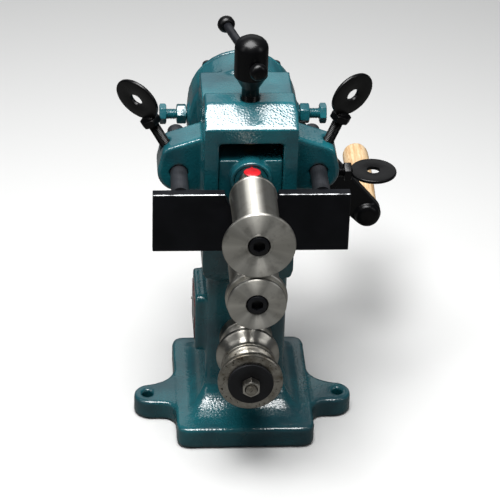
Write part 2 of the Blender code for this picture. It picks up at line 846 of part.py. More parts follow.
def upper_shaft_group():
    z = UPPER_Z
    fat = JOURNAL_D / 2 + 1.5
    shape = shaft_front(z) + [
        (JOURNAL_D / 2, ROLL_BACK_Y + 6, BLOCK_Y[1] + GAP),
        (fat, BLOCK_Y[1] + GAP, ROCKER_Y[0] - GAP),
        (BACK_JOURNAL_D / 2, ROCKER_Y[0] - GAP, BACK_BUSH_Y),
        (GEAR_SEAT_D / 2, BACK_BUSH_Y, GEAR_Y[1]),
        (CRANK_SEAT_D / 2, GEAR_Y[1], CRANK_HUB_Y[1] - 1),
        (6, CRANK_HUB_Y[1] - 1, CRANK_HUB_Y[1] + 13),
    ]
    shaft = finish("upper_shaft", turned(steps_profile(shape), "Y", (0, z), 24), looks["steel"], (0, 0, z))
    screw_thread_hole("upper_thread", shaft, z)
    flange_back = ROLL_FACE_Y + FLANGE_W
    outer = [
        (UPPER_BODY_D, ROLL_BACK_Y),
        (UPPER_BODY_D + 1.5, ROLL_BACK_Y - 0.8),
        (UPPER_BODY_D, ROLL_BACK_Y - 3),
        (UPPER_NOSE_D, flange_back + 6),
        (UPPER_NOSE_D + 4, flange_back + 1.5),
        (FLANGE_D - 2, flange_back),
        (FLANGE_D, flange_back - 0.8),
        (FLANGE_D, ROLL_FACE_Y + 0.8),
        (FLANGE_D - 1.6, ROLL_FACE_Y),
    ]
    upper = roll("upper_roll", z, outer)
    roll_screw("upper_roll_screw", z)
    key_and_slots("upper_roll_key", z, SPIGOT_D / 2, ROLL_BACK_Y - 32, ROLL_BACK_Y - 8, shaft, upper)
    wheel = gear("upper_gear", z)
    key_and_slots("upper_gear_key", z, GEAR_SEAT_D / 2, GEAR_Y[0] + 1, GEAR_Y[1] - 1, shaft, wheel)
    sleeve = tube_profile(CRANK_SEAT_D / 2 + GAP, 12.5, GEAR_Y[1] + GAP, CRANK_HUB_Y[0] - GAP)
    finish("crank_spacer", turned(sleeve, "Y", (0, z), 24), looks["dark"], (0, 0, z))
    arm = crank_arm()
    key_and_slots("crank_key", z, CRANK_SEAT_D / 2, CRANK_HUB_Y[0] + 2, CRANK_HUB_Y[1] - 4, shaft, arm)
    nut_y = CRANK_HUB_Y[1] + GAP
    nut = finish(
        "crank_nut",
        extruded(hexagon(HEX_12, 0, z, 0.3), "Y", nut_y, nut_y + 10),
        looks["dark"],
        (0, 0, z),
    )
    cut(nut, drill("crank_nut_bore", 12 + 2 * GAP, "Y", (0, z), nut_y - PIERCE, nut_y + 10 + PIERCE, 16))


def crank_end():
    return CRANK_RADIUS * math.cos(CRANK_ANGLE), UPPER_Z + CRANK_RADIUS * math.sin(CRANK_ANGLE)


def crank_arm():
    """A tapered cast arm: both ends are round and the edges are tangent to them."""
    x, z = crank_end()
    heading = math.degrees(CRANK_ANGLE)
    lean = math.degrees(math.asin((CRANK_HUB_R - CRANK_END_R) / CRANK_RADIUS))
    outline = arc(0, UPPER_Z, CRANK_HUB_R, heading + 90 - lean, heading + 270 + lean, 14)
    outline += arc(x, z, CRANK_END_R, heading - 90 + lean, heading + 90 - lean, 10)
    arm = finish("crank_arm", extruded(outline, "Y", *CRANK_Y), looks["black"], (0, 0, UPPER_Z), bevel=2)
    join(arm, cylinder("crank_hub", looks["black"], 40, "Y", (0, UPPER_Z), *CRANK_HUB_Y))
    low = CRANK_Y[0] - CRANK_BOSS_RISE
    boss = [
        (0, low), (8, low + 0.8), (11, low + 2.4), (12.5, low + 5), (12.5, CRANK_Y[0] + 4),
        (0, CRANK_Y[0] + 4),
    ]
    join(arm, finish("crank_boss", turned(boss, "Y", (x, z), 24), looks["black"]))
    cut(
        arm,
        drill(
            "crank_bore",
            CRANK_SEAT_D + 2 * GAP,
            "Y",
            (0, UPPER_Z),
            CRANK_HUB_Y[0] - PIERCE,
            CRANK_HUB_Y[1] + PIERCE,
        ),
    )
    cut(arm, drill("spindle_bore", SPINDLE_D + 2 * GAP, "Y", (x, z), CRANK_Y[0] + 3, CRANK_Y[1] + PIERCE, 16))
    return arm


def grip():
    x, z = crank_end()
    low, high = GRIP_Y
    radius = SPINDLE_D / 2
    shape = [
        (radius, CRANK_Y[0] + 4, CRANK_Y[1] + GAP),
        (8, CRANK_Y[1] + GAP, low - GAP),
        (radius - 1, low - GAP, high - 4),
        (7, high - 4, high - 1.5),
    ]
    finish("grip_spindle", turned(steps_profile(shape), "Y", (x, z), 16), looks["dark"], (x, 0, z))
    bore = radius - 1 + RUN
    outer = [(bore, low), (9.5, low), (11.5, low + 2.5), (12, low + 12), (12.8, low + 34), (GRIP_R, low + 62)]
    outer += [(GRIP_R, high - 9), (12.8, high - 5), (11.2, high - 1.6), (9, high), (7.5, high)]
    outer += [(7.5, high - 4 - GAP), (bore, high - 4 - GAP)]
    finish("crank_grip", turned(outer, "Y", (x, z), 28), looks["beech"], (x, 0, z))


def lower_shaft_group():
    z = LOWER_Z
    boss = -LOWER_BOSS_L
    shape = shaft_front(z) + [
        (JOURNAL_D / 2, ROLL_BACK_Y + 6, boss - GAP - 5),
        (COLLAR_D / 2 + 1, boss - GAP - 5, boss - GAP),
        (JOURNAL_D / 2, boss - GAP, 60),
        (BACK_JOURNAL_D / 2, 60, BACK_BUSH_Y),
        (GEAR_SEAT_D / 2, BACK_BUSH_Y, GEAR_Y[1] + GAP),
        (GEAR_SEAT_D / 2 - 1.2, GEAR_Y[1] + GAP, GEAR_Y[1] + 1.9),
        (GEAR_SEAT_D / 2, GEAR_Y[1] + 1.9, GEAR_Y[1] + 3),
    ]
    shaft = finish("lower_shaft", turned(steps_profile(shape), "Y", (0, z), 24), looks["steel"], (0, 0, z))
    screw_thread_hole("lower_thread", shaft, z)
    outer = [
        (LOWER_BODY_D - 1, ROLL_BACK_Y),
        (LOWER_BODY_D, ROLL_BACK_Y - 0.8),
        (LOWER_BODY_D, -91),
        (36, -96),
        (36, -101),
        (LOWER_RIM_D - 1, -103.5),
        (LOWER_RIM_D, -104.5),
        (LOWER_RIM_D, -109),
        (LOWER_RIM_D - 1.5, -110),
        (42, -111),
        (42, -113.5),
        (LOWER_DISC_D - 1, -114.5),
        (LOWER_DISC_D, -115.2),
        (LOWER_DISC_D, ROLL_FACE_Y + 0.8),
        (LOWER_DISC_D - 1.6, ROLL_FACE_Y),
    ]
    lower = roll("lower_roll", z, outer)
    roll_screw("lower_roll_screw", z)
    key_and_slots("lower_roll_key", z, SPIGOT_D / 2, ROLL_BACK_Y - 32, ROLL_BACK_Y - 8, shaft, lower)
    wheel = gear("lower_gear", z)
    key_and_slots("lower_gear_key", z, GEAR_SEAT_D / 2, GEAR_Y[0] + 1, GEAR_Y[1] - 1, shaft, wheel)
    groove = GEAR_SEAT_D / 2 - 1.2
    ring = tube_profile(groove + GAP, GEAR_SEAT_D / 2 + 2.5, GEAR_Y[1] + 2 * GAP, GEAR_Y[1] + 1.6)
    finish("lower_gear_ring", turned(ring, "Y", (0, z), 24), looks["dark"], (0, 0, z))
    front = tube_profile(JOURNAL_D / 2 + RUN, BUSH_OD / 2, boss, 42)
    finish("lower_front_bush", turned(front, "Y", (0, z), 20), looks["bronze"])
    rear = tube_profile(BACK_JOURNAL_D / 2 + RUN, BUSH_OD / 2, HOUSING_FRONT_Y - 4, BACK_BUSH_Y)
    finish("lower_rear_bush", turned(rear, "Y", (0, z), 20), looks["bronze"])


def return_springs():
    for sign, word in ((-1, "left"), (1, "right")):
        coil = helix(
            SPRING_D / 2 - SPRING_WIRE_D / 2,
            SPRING_WIRE_D,
            SPRING_TURNS,
            SPRING_FLOOR + GAP,
            BLOCK_Z[0] - GAP,
            (sign * SPRING_X, SPRING_Y),
        )
        finish("return_spring_" + word, coil, looks["steel"])


def bar_frame():
    """A frame whose +Z runs forward along the tommy bar and whose origin is on the screw's axis."""
    ahead = Vector((math.sin(BAR_TURN), -math.cos(BAR_TURN), 0))
    return Vector((0, SCREW_Y, BAR_Z)), ahead.to_track_quat("Z", "Y").to_matrix().to_4x4()


def pressure_screw():
    origin = (0, SCREW_Y, 0)
    tip = BLOCK_Z[1] + GAP + PAD_H + GAP
    radius, head = SCREW_D / 2, SCREW_HEAD_D / 2
    shape = [
        (0, tip),
        (radius - 2, tip),
        (radius, tip + 2),
        (radius, SCREW_NECK_TOP),
        (head - 0.8, SCREW_SHOULDER),
        (head, SCREW_SHOULDER + 1),
        (head, SCREW_CYLINDER_TOP),
        (head * 0.94, SCREW_CYLINDER_TOP + 3.5),
        (head * 0.76, SCREW_CYLINDER_TOP + 7.5),
        (head * 0.42, SCREW_TOP - 1),
        (0, SCREW_TOP),
    ]
    screw = finish("pressure_screw", turned(shape, "Z", (0, SCREW_Y), 32), looks["black"], origin)
    where, turn = bar_frame()
    hole = turned(rod_profile(BAR_D / 2 + RUN, -head - PIERCE, head + PIERCE), "Z", (0, 0), 20)
    cut(screw, finish("bar_bore", hole, looks["cutter"], where, turn))
    floor = BLOCK_Z[1] + GAP
    pad = [(0, floor), (2.5, floor), (PAD_D / 2, floor + 1.5), (PAD_D / 2, floor + PAD_H), (0, floor + PAD_H)]
    finish("thrust_pad", turned(pad, "Z", (0, SCREW_Y), 24), looks["bronze"], origin)

    near = head + 1.4 + BAR_KNOB_W / 2
    far = near - BAR_LENGTH
    half = BAR_KNOB_W / 2
    inside = half - BAR_KNOB_WEB - GAP
    bar = turned(rod_profile(BAR_D / 2, far - inside, near + inside, 0.8), "Z", (0, 0), 20)
    finish("tommy_bar", bar, looks["black"], where, turn)
    knob = BAR_KNOB_D / 2
    bore = BAR_D / 2 + GAP
    for name, middle in (("tommy_knob_front", near), ("tommy_knob_rear", far)):
        outward = 1 if middle > 0 else -1
        web = half - BAR_KNOB_WEB
        loop = [
            (bore, -half), (knob - 2.5, -half), (knob, -half + 2.5), (knob, half - 2.5),
            (knob - 2.5, half), (0, half), (0, web), (bore, web),
        ]
        loop = [(r, middle + outward * t) for r, t in loop]
        finish(name, turned(loop, "Z", (0, 0), 12), looks["black"], where, turn)


def gauge():
    """The gauge plate, with a notch above for the upper shaft and one below for the lower,
    and the two rods that it slides on."""
    side = GAUGE_W / 2
    low, high = GAUGE_Z
    half = NOTCH_W / 2
    plate = finish(
        "gauge_plate",
        extruded(rectangle(-side, side, low, high, 1), "Y", *GAUGE_Y),
        looks["black"],
        bevel=0.8,
        segments=1,
    )
    reach = PIERCE + half
    for name, z, end in (("notch_top", UPPER_Z, high + reach), ("notch_bottom", LOWER_Z, low - reach)):
        way = 0 if end > z else 180
        rim = arc(0, z, half, 180 + way, 360 + way, 14)
        rim += [Vector((math.copysign(half, rim[-1].x), end)), Vector((math.copysign(half, rim[0].x), end))]
        cut(
            plate,
            finish(
                name, extruded(rim, "Y", GAUGE_Y[0] - PIERCE, GAUGE_Y[1] + PIERCE), looks["cutter"]
            ),
        )
    for sign, word in ((-1, "left"), (1, "right")):
        seat = GAUGE_Y[1] - ROD_SPIGOT_L
        middle = (sign * ROD_X, ROD_Z)
        hole = drill(
            "rod_seat_" + word,
            ROD_SPIGOT_D + 2 * GAP,
            "Y",
            middle,
            seat - GAP,
            GAUGE_Y[1] + PIERCE,
            16,
        )
        cut(plate, hole)
        shape = [
            (0, seat), (ROD_SPIGOT_D / 2, seat), (ROD_SPIGOT_D / 2, GAUGE_Y[1] + GAP),
            (ROD_D / 2, GAUGE_Y[1] + GAP), (ROD_D / 2, ROD_BACK_Y - 1.5),
            (ROD_D / 2 - 1.5, ROD_BACK_Y), (0, ROD_BACK_Y),
        ]
        finish("gauge_rod_" + word, turned(shape, "Y", middle, 24), looks["dark"], (sign * ROD_X, 0, ROD_Z))


def thumb_screw(name, where, turn, tip):
    """A hex-headed screw with a big washer welded upright on its head."""
    head = THUMB_HEAD_FROM
    shank = turned(rod_profile(THUMB_D / 2, tip, head + 1), "Z", (0, 0), 16)
    screw = finish(name, shank, looks["black"], where, turn)
    join(
        screw,
        finish(
            name + "_head",
            extruded(hexagon(HEX_10), "Z", head, head + THUMB_HEAD_H),
            looks["black"],
            where,
            turn,
        ),
    )
    middle = head + THUMB_HEAD_H - 1 + THUMB_DISC_R
    half = THUMB_DISC_T / 2
    disc = turned(tube_profile(THUMB_HOLE_D / 2, THUMB_DISC_R, -half, half), "Y", (0, middle), 32)
    join(screw, finish(name + "_disc", disc, looks["black"], where, turn))


def thumb_screws():
    tip = ROD_D / 2 + GAP
    for sign, word, lean, twist in (
        (-1, "left", LEFT_LEAN, LEFT_TWIST), (1, "right", RIGHT_LEAN, RIGHT_TWIST)
    ):
        where, turn = thumb_axis(sign, lean)
        thumb_screw("rod_lock_screw_" + word, where, turn @ Matrix.Rotation(-twist, 4, "Z"), tip)
    turn = Matrix.Rotation(math.pi / 2, 4, "Y") @ Matrix.Rotation(math.pi / 2, 4, "Z")
    where = Vector((SHAFT_LOCK_HEAD_X - THUMB_HEAD_FROM, SHAFT_LOCK_Y, LOWER_Z))
    thumb_screw("shaft_lock_screw", where, turn, BUSH_OD / 2 + GAP - where.x)


def stored_rolls():
    """Two spare rolls clamped on a stud in the column's front."""
    z = STUD_Z
    face = STORED_FACE_Y
    back = COLUMN_FRONT_Y - GAP
    bore = STORED_BORE_D / 2
    split = STORED_SPLIT_Y
    front = [
        (bore, face), (28.8, face), (30, face + 1), (30, face + 5), (28.5, face + 6.5),
        (24, face + 9), (21.5, face + 13), (22, face + 17), (24.5, face + 20), (25.5, face + 22),
    ]
    front += [(25.5, split - 1), (24.8, split - GAP), (bore, split - GAP)]
    rear = [
        (bore, split), (20.5, split), (21, split + 3), (24, split + 9), (28.5, split + 12),
        (29.3, split + 13.5), (29.3, split + 17), (28, split + 19),
    ]
    rear += [
        (22, split + 22), (19.5, split + 26), (20, split + 30), (24, split + 33), (25, split + 34),
        (25, back - 1), (24, back), (bore, back),
    ]
    finish("stored_roll_front", turned(front, "Y", (0, z), 26), looks["steel"])
    finish("stored_roll_rear", turned(rear, "Y", (0, z), 26), looks["steel"])
    washer = face - GAP
    finish(
        "storage_washer",
        turned(
            tube_profile(STUD_D / 2 + GAP, WASHER_D / 2, washer - WASHER_T, washer), "Y", (0, z), 32
        ),
        looks["dark"],
    )
    nut = washer - WASHER_T - GAP
    body = finish(
        "storage_nut", extruded(hexagon(16.0, 0, z, math.pi / 6), "Y", nut - 8, nut), looks["steel"]
    )
    cut(body, drill("storage_nut_bore", STUD_D + 2 * GAP, "Y", (0, z), nut - 8 - PIERCE, nut + PIERCE, 16))
    cylinder("storage_stud", looks["steel"], STUD_D, "Y", (0, z), nut - 8 - 3, COLUMN_FRONT_Y + 15, 16, 1)


clear_scene()
looks = {
    "cutter": material("cutter", (1, 0, 1), 1, 0),
    "teal": material("teal_hammer_paint", TEAL, 0.3, 0),
    "steel": material("turned_steel", STEEL, 0.3, 1),
    "dark": material("blackened_steel", DARK, 0.4, 0.8),
    "black": material("black_paint", BLACK, 0.35, 0),
    "bronze": material("bearing_bronze", BRONZE, 0.4, 1),
    "beech": material("beech", BEECH, 0.55, 0),
    "red": material("red_plastic", RED, 0.25, 0),
}
frame_casting()
gear_cover()
upper_blocks()
pivot_bolts()
upper_shaft_group()
grip()
lower_shaft_group()
return_springs()
pressure_screw()
gauge()
thumb_screws()
stored_rolls()
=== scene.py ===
import math

import bpy
from mathutils import Matrix, Quaternion, Vector


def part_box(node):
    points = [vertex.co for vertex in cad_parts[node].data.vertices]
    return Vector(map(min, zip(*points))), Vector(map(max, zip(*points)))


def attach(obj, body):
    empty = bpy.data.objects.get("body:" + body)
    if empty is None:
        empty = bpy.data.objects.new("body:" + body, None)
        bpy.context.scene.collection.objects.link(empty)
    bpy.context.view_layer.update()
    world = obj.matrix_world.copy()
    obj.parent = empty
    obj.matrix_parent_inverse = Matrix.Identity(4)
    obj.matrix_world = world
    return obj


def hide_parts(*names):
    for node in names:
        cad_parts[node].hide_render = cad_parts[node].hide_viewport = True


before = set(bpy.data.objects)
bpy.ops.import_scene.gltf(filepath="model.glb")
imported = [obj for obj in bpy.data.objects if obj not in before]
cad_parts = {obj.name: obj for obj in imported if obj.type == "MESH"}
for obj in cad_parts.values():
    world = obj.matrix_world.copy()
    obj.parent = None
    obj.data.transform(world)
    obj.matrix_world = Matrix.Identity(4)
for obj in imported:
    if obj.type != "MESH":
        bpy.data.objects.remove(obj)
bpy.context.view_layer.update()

mm = 0.001

cameraSetup = {
    "place": (-0.1445, -1.8708, 1.3436),
    "target": (0.00136, 0.0, 0.1933),
    "roll": 1.82,
    "lens": 172.4,
}


def placeCamera():
    data = bpy.data.cameras.new("camera")
    data.lens = cameraSetup["lens"]
    data.sensor_width = 36
    data.clip_end = 30
    camera = bpy.data.objects.new("camera", data)
    bpy.context.scene.collection.objects.link(camera)
    place = Vector(cameraSetup["place"])
    aim = (Vector(cameraSetup["target"]) - place).to_track_quat("-Z", "Y")
    camera.location = place
    camera.rotation_mode = "QUATERNION"
    camera.rotation_quaternion = aim @ Quaternion((0, 0, 1), math.radians(cameraSetup["roll"]))
    bpy.context.scene.camera = camera


studio = {
    "floorSize": 30.0,
    "floorColour": "#d4d4d3",
    "floorBounce": "#5e5e5d",
    "worldColour": "#dfe8f2",
    "worldStrength": 0.09,
    # name: place, what it points at, width and height, power
    "boxes": {
        "overhead soft box": ((-0.12, -0.1, 1.3), (0, 0.0, 0.2), (0.8, 0.8), 33.0),
        "left soft box": ((-1.3, -0.5, 1.1), (0, 0, 0.2), (0.45, 1.0), 2.6),
        "back panel": ((0.0, 2.3, 1.45), (0, 0, 0.2), (2.4, 1.1), 4.5),
        "right soft box": ((1.2, -0.6, 0.9), (0, 0, 0.2), (0.3, 0.8), 2.5),
    },
}


def softBox(name, place, target, size, power):
    data = bpy.data.lights.new(name, "AREA")
    data.shape = "RECTANGLE"
    data.size, data.size_y = size
    data.energy = power
    light = bpy.data.objects.new(name, data)
    light.location = place
    light.rotation_euler = (Vector(target) - Vector(place)).to_track_quat("-Z", "Y").to_euler()
    bpy.context.scene.collection.objects.link(light)


def linear(hexColour):
    parts = [int(hexColour[i : i + 2], 16) / 255 for i in (1, 3, 5)]
    return [p / 12.92 if p <= 0.04045 else ((p + 0.055) / 1.055) ** 2.4 for p in parts] + [1]


def addNode(tree, kind, inputs=None, out=0, stops=None, **settings):
    # inputs holds a socket to link from, a number or a hex colour for each input
    # out says which output is wanted, and None gives all of them
    node = tree.nodes.new(kind)
    for key, value in settings.items():
        setattr(node, key, value)
    for key, value in (inputs or {}).items():
        if isinstance(value, bpy.types.NodeSocket):
            tree.links.new(value, node.inputs[key])
        else:
            node.inputs[key].default_value = linear(value) if isinstance(value, str) else value
    for index, (at, value) in enumerate(stops or []):
        if index > 1:
            node.color_ramp.elements.new(at)
        element = node.color_ramp.elements[index]
        element.position = at
        element.color = linear(value) if isinstance(value, str) else (value, value, value, 1)
    return node.outputs if out is None else node.outputs[out]


def startMaterial(name, colour, roughness, metallic=0.0, **sockets):
    material = bpy.data.materials.new(name)
    material.use_nodes = True
    tree = material.node_tree
    shader = tree.nodes["Principled BSDF"]
    shader.inputs["Base Color"].default_value = linear(colour)
    shader.inputs["Roughness"].default_value = roughness
    shader.inputs["Metallic"].default_value = metallic
    for key, value in sockets.items():
        shader.inputs[key.replace("_", " ")].default_value = value
    place = addNode(tree, "ShaderNodeTexCoord", out="Object")
    return material, tree, shader, place


def feed(tree, shader, **sources):
    for key, source in sources.items():
        tree.links.new(source, shader.inputs[key.replace("_", " ")])


# hammer-finish enamel sprayed on sand-cast iron: small glossy dimples over a soft waviness
def hammerEnamel():
    material, tree, shader, place = startMaterial(
        "hammer finish enamel", "#124e56", 0.3, Coat_Weight=0.9, Coat_Roughness=0.09
    )
    cell = {"Vector": place, "Scale": 1 / (2.1 * mm), "Smoothness": 0.5}
    dimple = addNode(tree, "ShaderNodeTexVoronoi", cell, feature="SMOOTH_F1")
    wave = addNode(tree, "ShaderNodeTexNoise", {"Vector": place, "Scale": 1 / (11 * mm), "Detail": 2})
    haze = addNode(tree, "ShaderNodeTexNoise", {"Vector": place, "Scale": 1 / (48 * mm), "Detail": 4})
    colour = addNode(tree, "ShaderNodeValToRGB", {"Fac": haze}, stops=[(0.38, "#155860"), (0.64, "#0e3f48")])
    rough = addNode(
        tree,
        "ShaderNodeMapRange",
        {"Value": haze, "From Min": 0.35, "From Max": 0.65, "To Min": 0.2, "To Max": 0.36},
    )
    soft = addNode(tree, "ShaderNodeBump", {"Height": wave, "Distance": 1.2 * mm, "Strength": 0.2})
    skin = addNode(
        tree,
        "ShaderNodeBump",
        {"Height": dimple, "Distance": 0.45 * mm, "Strength": 0.34, "Normal": soft},
    )
    feed(tree, shader, Base_Color=colour, Roughness=rough, Normal=skin, Coat_Normal=skin)
    return material


# bare steel off the lathe: rings that fan the light out, with painted highlight streaks round the axis and
# end faces painted paler as a painted reflection
def turnedSteel(name, axisMm, face, light, dark, rough):
    material, tree, shader, place = startMaterial(
        name, light, 0.4, 1.0, Anisotropic=0.85, Anisotropic_Rotation=0.25
    )
    centred = addNode(tree, "ShaderNodeMapping", {"Vector": place, "Location": [-v * mm for v in axisMm]})
    split = addNode(tree, "ShaderNodeSeparateXYZ", {"Vector": centred}, out=None)
    across = addNode(tree, "ShaderNodeCombineXYZ", {"X": split["X"], "Y": split["Z"]})
    radius = addNode(tree, "ShaderNodeVectorMath", {0: across}, out="Value", operation="LENGTH")
    ring = addNode(tree, "ShaderNodeCombineXYZ", {"X": radius, "Y": split["Y"]})
    lines = addNode(
        tree,
        "ShaderNodeTexNoise",
        {"Vector": ring, "Scale": 1 / (0.6 * mm), "Detail": 3, "Roughness": 0.6},
    )
    # painted highlight streaks: light and dark bands that keep one direction from the axis, over the rings
    angle = addNode(tree, "ShaderNodeMath", {0: split["X"], 1: split["Z"]}, operation="ARCTAN2")
    turnPlace = addNode(tree, "ShaderNodeCombineXYZ", {"X": angle})
    paintedStreaks = addNode(
        tree,
        "ShaderNodeTexNoise",
        {"Vector": turnPlace, "Scale": 1.5, "Detail": 3, "Roughness": 0.5},
    )
    stain = addNode(
        tree,
        "ShaderNodeTexNoise",
        {"Vector": place, "Scale": 1 / (15 * mm), "Detail": 5, "Roughness": 0.65},
    )
    body = addNode(tree, "ShaderNodeValToRGB", {"Fac": paintedStreaks}, stops=[(0.36, dark), (0.64, light)])
    # end faces take a paler copy of the steel (up to the face colour), a painted reflection of the lamps and
    # floor, mixed in by how squarely the surface faces along the axis
    normal = addNode(tree, "ShaderNodeNewGeometry", out="Normal")
    facing = addNode(tree, "ShaderNodeSeparateXYZ", {"Vector": normal}, out="Y")
    end = addNode(tree, "ShaderNodeMath", {0: facing}, operation="ABSOLUTE")
    paintedFaceTone = addNode(tree, "ShaderNodeValToRGB", {"Fac": paintedStreaks}, stops=[(0.3, "#cfccc3"), (0.7, face)])
    bright = addNode(tree, "ShaderNodeMix", {0: end, 6: body, 7: paintedFaceTone}, out=2, data_type="RGBA")
    cover = addNode(tree, "ShaderNodeValToRGB", {"Fac": stain}, stops=[(0.5, 0.0), (0.78, 0.5)])
    tint = addNode(tree, "ShaderNodeMix", {0: cover, 6: bright, 7: "#5b544a"}, out=2, data_type="RGBA")
    spread = addNode(
        tree, "ShaderNodeMapRange", {"Value": stain, "To Min": rough - 0.09, "To Max": rough + 0.09}
    )
    tangent = addNode(tree, "ShaderNodeTangent", direction_type="RADIAL", axis="Y")
    skin = addNode(tree, "ShaderNodeBump", {"Height": lines, "Distance": 0.03 * mm, "Strength": 0.3})
    feed(tree, shader, Base_Color=tint, Roughness=spread, Tangent=tangent, Normal=skin)
    return material


# old bare steel left damp: a brown film and dark pits
def pittedSteel():
    material, tree, shader, place = startMaterial("pitted bare steel", "#8b857b", 0.34, 1.0)
    film = addNode(
        tree,
        "ShaderNodeTexNoise",
        {"Vector": place, "Scale": 1 / (13 * mm), "Detail": 6, "Roughness": 0.7},
    )
    speck = addNode(
        tree,
        "ShaderNodeTexNoise",
        {"Vector": place, "Scale": 1 / (2.8 * mm), "Detail": 4, "Roughness": 0.75},
    )
    stops = [(0.4, "#bdb9af"), (0.6, "#8f897d"), (0.74, "#4a3c30")]
    colour = addNode(tree, "ShaderNodeValToRGB", {"Fac": film}, stops=stops)
    pits = addNode(tree, "ShaderNodeValToRGB", {"Fac": speck}, stops=[(0.36, 1.0), (0.42, 0.0)])
    tint = addNode(tree, "ShaderNodeMix", {0: pits, 6: colour, 7: "#1f1712"}, out=2, data_type="RGBA")
    rough = addNode(tree, "ShaderNodeMapRange", {"Value": film, "To Min": 0.18, "To Max": 0.55})
    skin = addNode(tree, "ShaderNodeBump", {"Height": speck, "Distance": 0.35 * mm, "Strength": 0.45})
    feed(tree, shader, Base_Color=tint, Roughness=rough, Normal=skin)
    return material


# oil-blackened steel: satin black with a faint grey bloom
def blackOxide(name, tone, bloomTone, roughness):
    material, tree, shader, place = startMaterial(name, tone, roughness, Specular_IOR_Level=0.4)
    bloom = addNode(tree, "ShaderNodeTexNoise", {"Vector": place, "Scale": 1 / (18 * mm), "Detail": 6})
    grain = addNode(tree, "ShaderNodeTexNoise", {"Vector": place, "Scale": 1 / (1.4 * mm), "Detail": 3})
    colour = addNode(tree, "ShaderNodeValToRGB", {"Fac": bloom}, stops=[(0.38, tone), (0.8, bloomTone)])
    limits = {"To Min": roughness - 0.1, "To Max": roughness + 0.12}
    rough = addNode(tree, "ShaderNodeMapRange", {"Value": bloom, **limits})
    skin = addNode(tree, "ShaderNodeBump", {"Height": grain, "Distance": 0.06 * mm, "Strength": 0.4})
    feed(tree, shader, Base_Color=colour, Roughness=rough, Normal=skin)
    return material


# blackened ground plate whose long top edge is rubbed back to bright steel
def rubbedPlate():
    material, tree, shader, place = startMaterial(
        "blackened plate with a rubbed edge", "#0d0e11", 0.34, Specular_IOR_Level=0.15
    )
    low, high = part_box("gauge_plate")
    split = addNode(tree, "ShaderNodeSeparateXYZ", {"Vector": place}, out=None)
    ragged = addNode(
        tree,
        "ShaderNodeTexNoise",
        {"Vector": place, "Scale": 1 / (7 * mm), "Detail": 5, "Roughness": 0.7},
    )
    fromTop = addNode(tree, "ShaderNodeMath", {0: split["Z"], 1: high[2] - 0.5 * mm}, operation="SUBTRACT")
    fromFront = addNode(tree, "ShaderNodeMath", {0: low[1] + 0.8 * mm, 1: split["Y"]}, operation="SUBTRACT")
    corner = addNode(tree, "ShaderNodeMath", {0: fromTop, 1: fromFront}, operation="MINIMUM")
    depth = addNode(
        tree, "ShaderNodeMath", {0: corner, 1: 1 / (1.2 * mm), 2: ragged}, operation="MULTIPLY_ADD"
    )
    worn = addNode(tree, "ShaderNodeValToRGB", {"Fac": depth}, stops=[(0.45, 0.0), (0.7, 1.0)])
    bloom = addNode(tree, "ShaderNodeTexNoise", {"Vector": place, "Scale": 1 / (30 * mm), "Detail": 5})
    black = addNode(tree, "ShaderNodeValToRGB", {"Fac": bloom}, stops=[(0.35, "#0b0c0f"), (0.8, "#16171b")])
    colour = addNode(tree, "ShaderNodeMix", {0: worn, 6: black, 7: "#dcdee0"}, out=2, data_type="RGBA")
    rough = addNode(tree, "ShaderNodeMapRange", {"Value": bloom, "To Min": 0.24, "To Max": 0.44})
    stretched = addNode(tree, "ShaderNodeMapping", {"Vector": place, "Scale": (0.06, 1, 1)})
    grain = addNode(tree, "ShaderNodeTexNoise", {"Vector": stretched, "Scale": 1 / (0.8 * mm), "Detail": 3})
    skin = addNode(tree, "ShaderNodeBump", {"Height": grain, "Distance": 0.05 * mm, "Strength": 0.3})
    feed(tree, shader, Base_Color=colour, Metallic=worn, Roughness=rough, Normal=skin)
    return material


# brushed-on gloss black enamel over rough castings: wet highlights on a lumpy skin
def glossBlack():
    material, tree, shader, place = startMaterial(
        "gloss black enamel", "#050506", 0.3, Specular_IOR_Level=0.25
    )
    lumps = addNode(tree, "ShaderNodeTexNoise", {"Vector": place, "Scale": 1 / (5 * mm), "Detail": 3})
    wipes = addNode(tree, "ShaderNodeTexNoise", {"Vector": place, "Scale": 1 / (12 * mm), "Detail": 4})
    rough = addNode(tree, "ShaderNodeMapRange", {"Value": wipes, "To Min": 0.2, "To Max": 0.42})
    skin = addNode(tree, "ShaderNodeBump", {"Height": lumps, "Distance": 0.5 * mm, "Strength": 0.3})
    feed(tree, shader, Roughness=rough, Normal=skin)
    return material


# turned beech, lightly sealed: pale with fine flecks and handling marks
def beechWood():
    material, tree, shader, place = startMaterial("sealed beech", "#dcbc90", 0.46)
    along = addNode(tree, "ShaderNodeMapping", {"Vector": place, "Scale": (1, 0.06, 1)})
    short = addNode(tree, "ShaderNodeMapping", {"Vector": place, "Scale": (1, 0.16, 1)})
    grain = addNode(tree, "ShaderNodeTexNoise", {"Vector": along, "Scale": 1 / (2.2 * mm), "Detail": 5})
    fleck = addNode(tree, "ShaderNodeTexNoise", {"Vector": short, "Scale": 1 / (0.9 * mm), "Detail": 3})
    hands = addNode(tree, "ShaderNodeTexNoise", {"Vector": place, "Scale": 1 / (26 * mm), "Detail": 4})
    stops = [(0.3, "#bd9569"), (0.5, "#d6b68c"), (0.72, "#e6d0ad")]
    wood = addNode(tree, "ShaderNodeValToRGB", {"Fac": grain}, stops=stops)
    flecks = addNode(tree, "ShaderNodeValToRGB", {"Fac": fleck}, stops=[(0.3, 0.65), (0.42, 0.0)])
    marked = addNode(tree, "ShaderNodeMix", {0: flecks, 6: wood, 7: "#a0743f"}, out=2, data_type="RGBA")
    soil = addNode(tree, "ShaderNodeValToRGB", {"Fac": hands}, stops=[(0.5, 0.0), (0.8, 0.4)])
    colour = addNode(tree, "ShaderNodeMix", {0: soil, 6: marked, 7: "#a08261"}, out=2, data_type="RGBA")
    skin = addNode(tree, "ShaderNodeBump", {"Height": grain, "Distance": 0.12 * mm, "Strength": 0.4})
    feed(tree, shader, Base_Color=colour, Normal=skin)
    return material


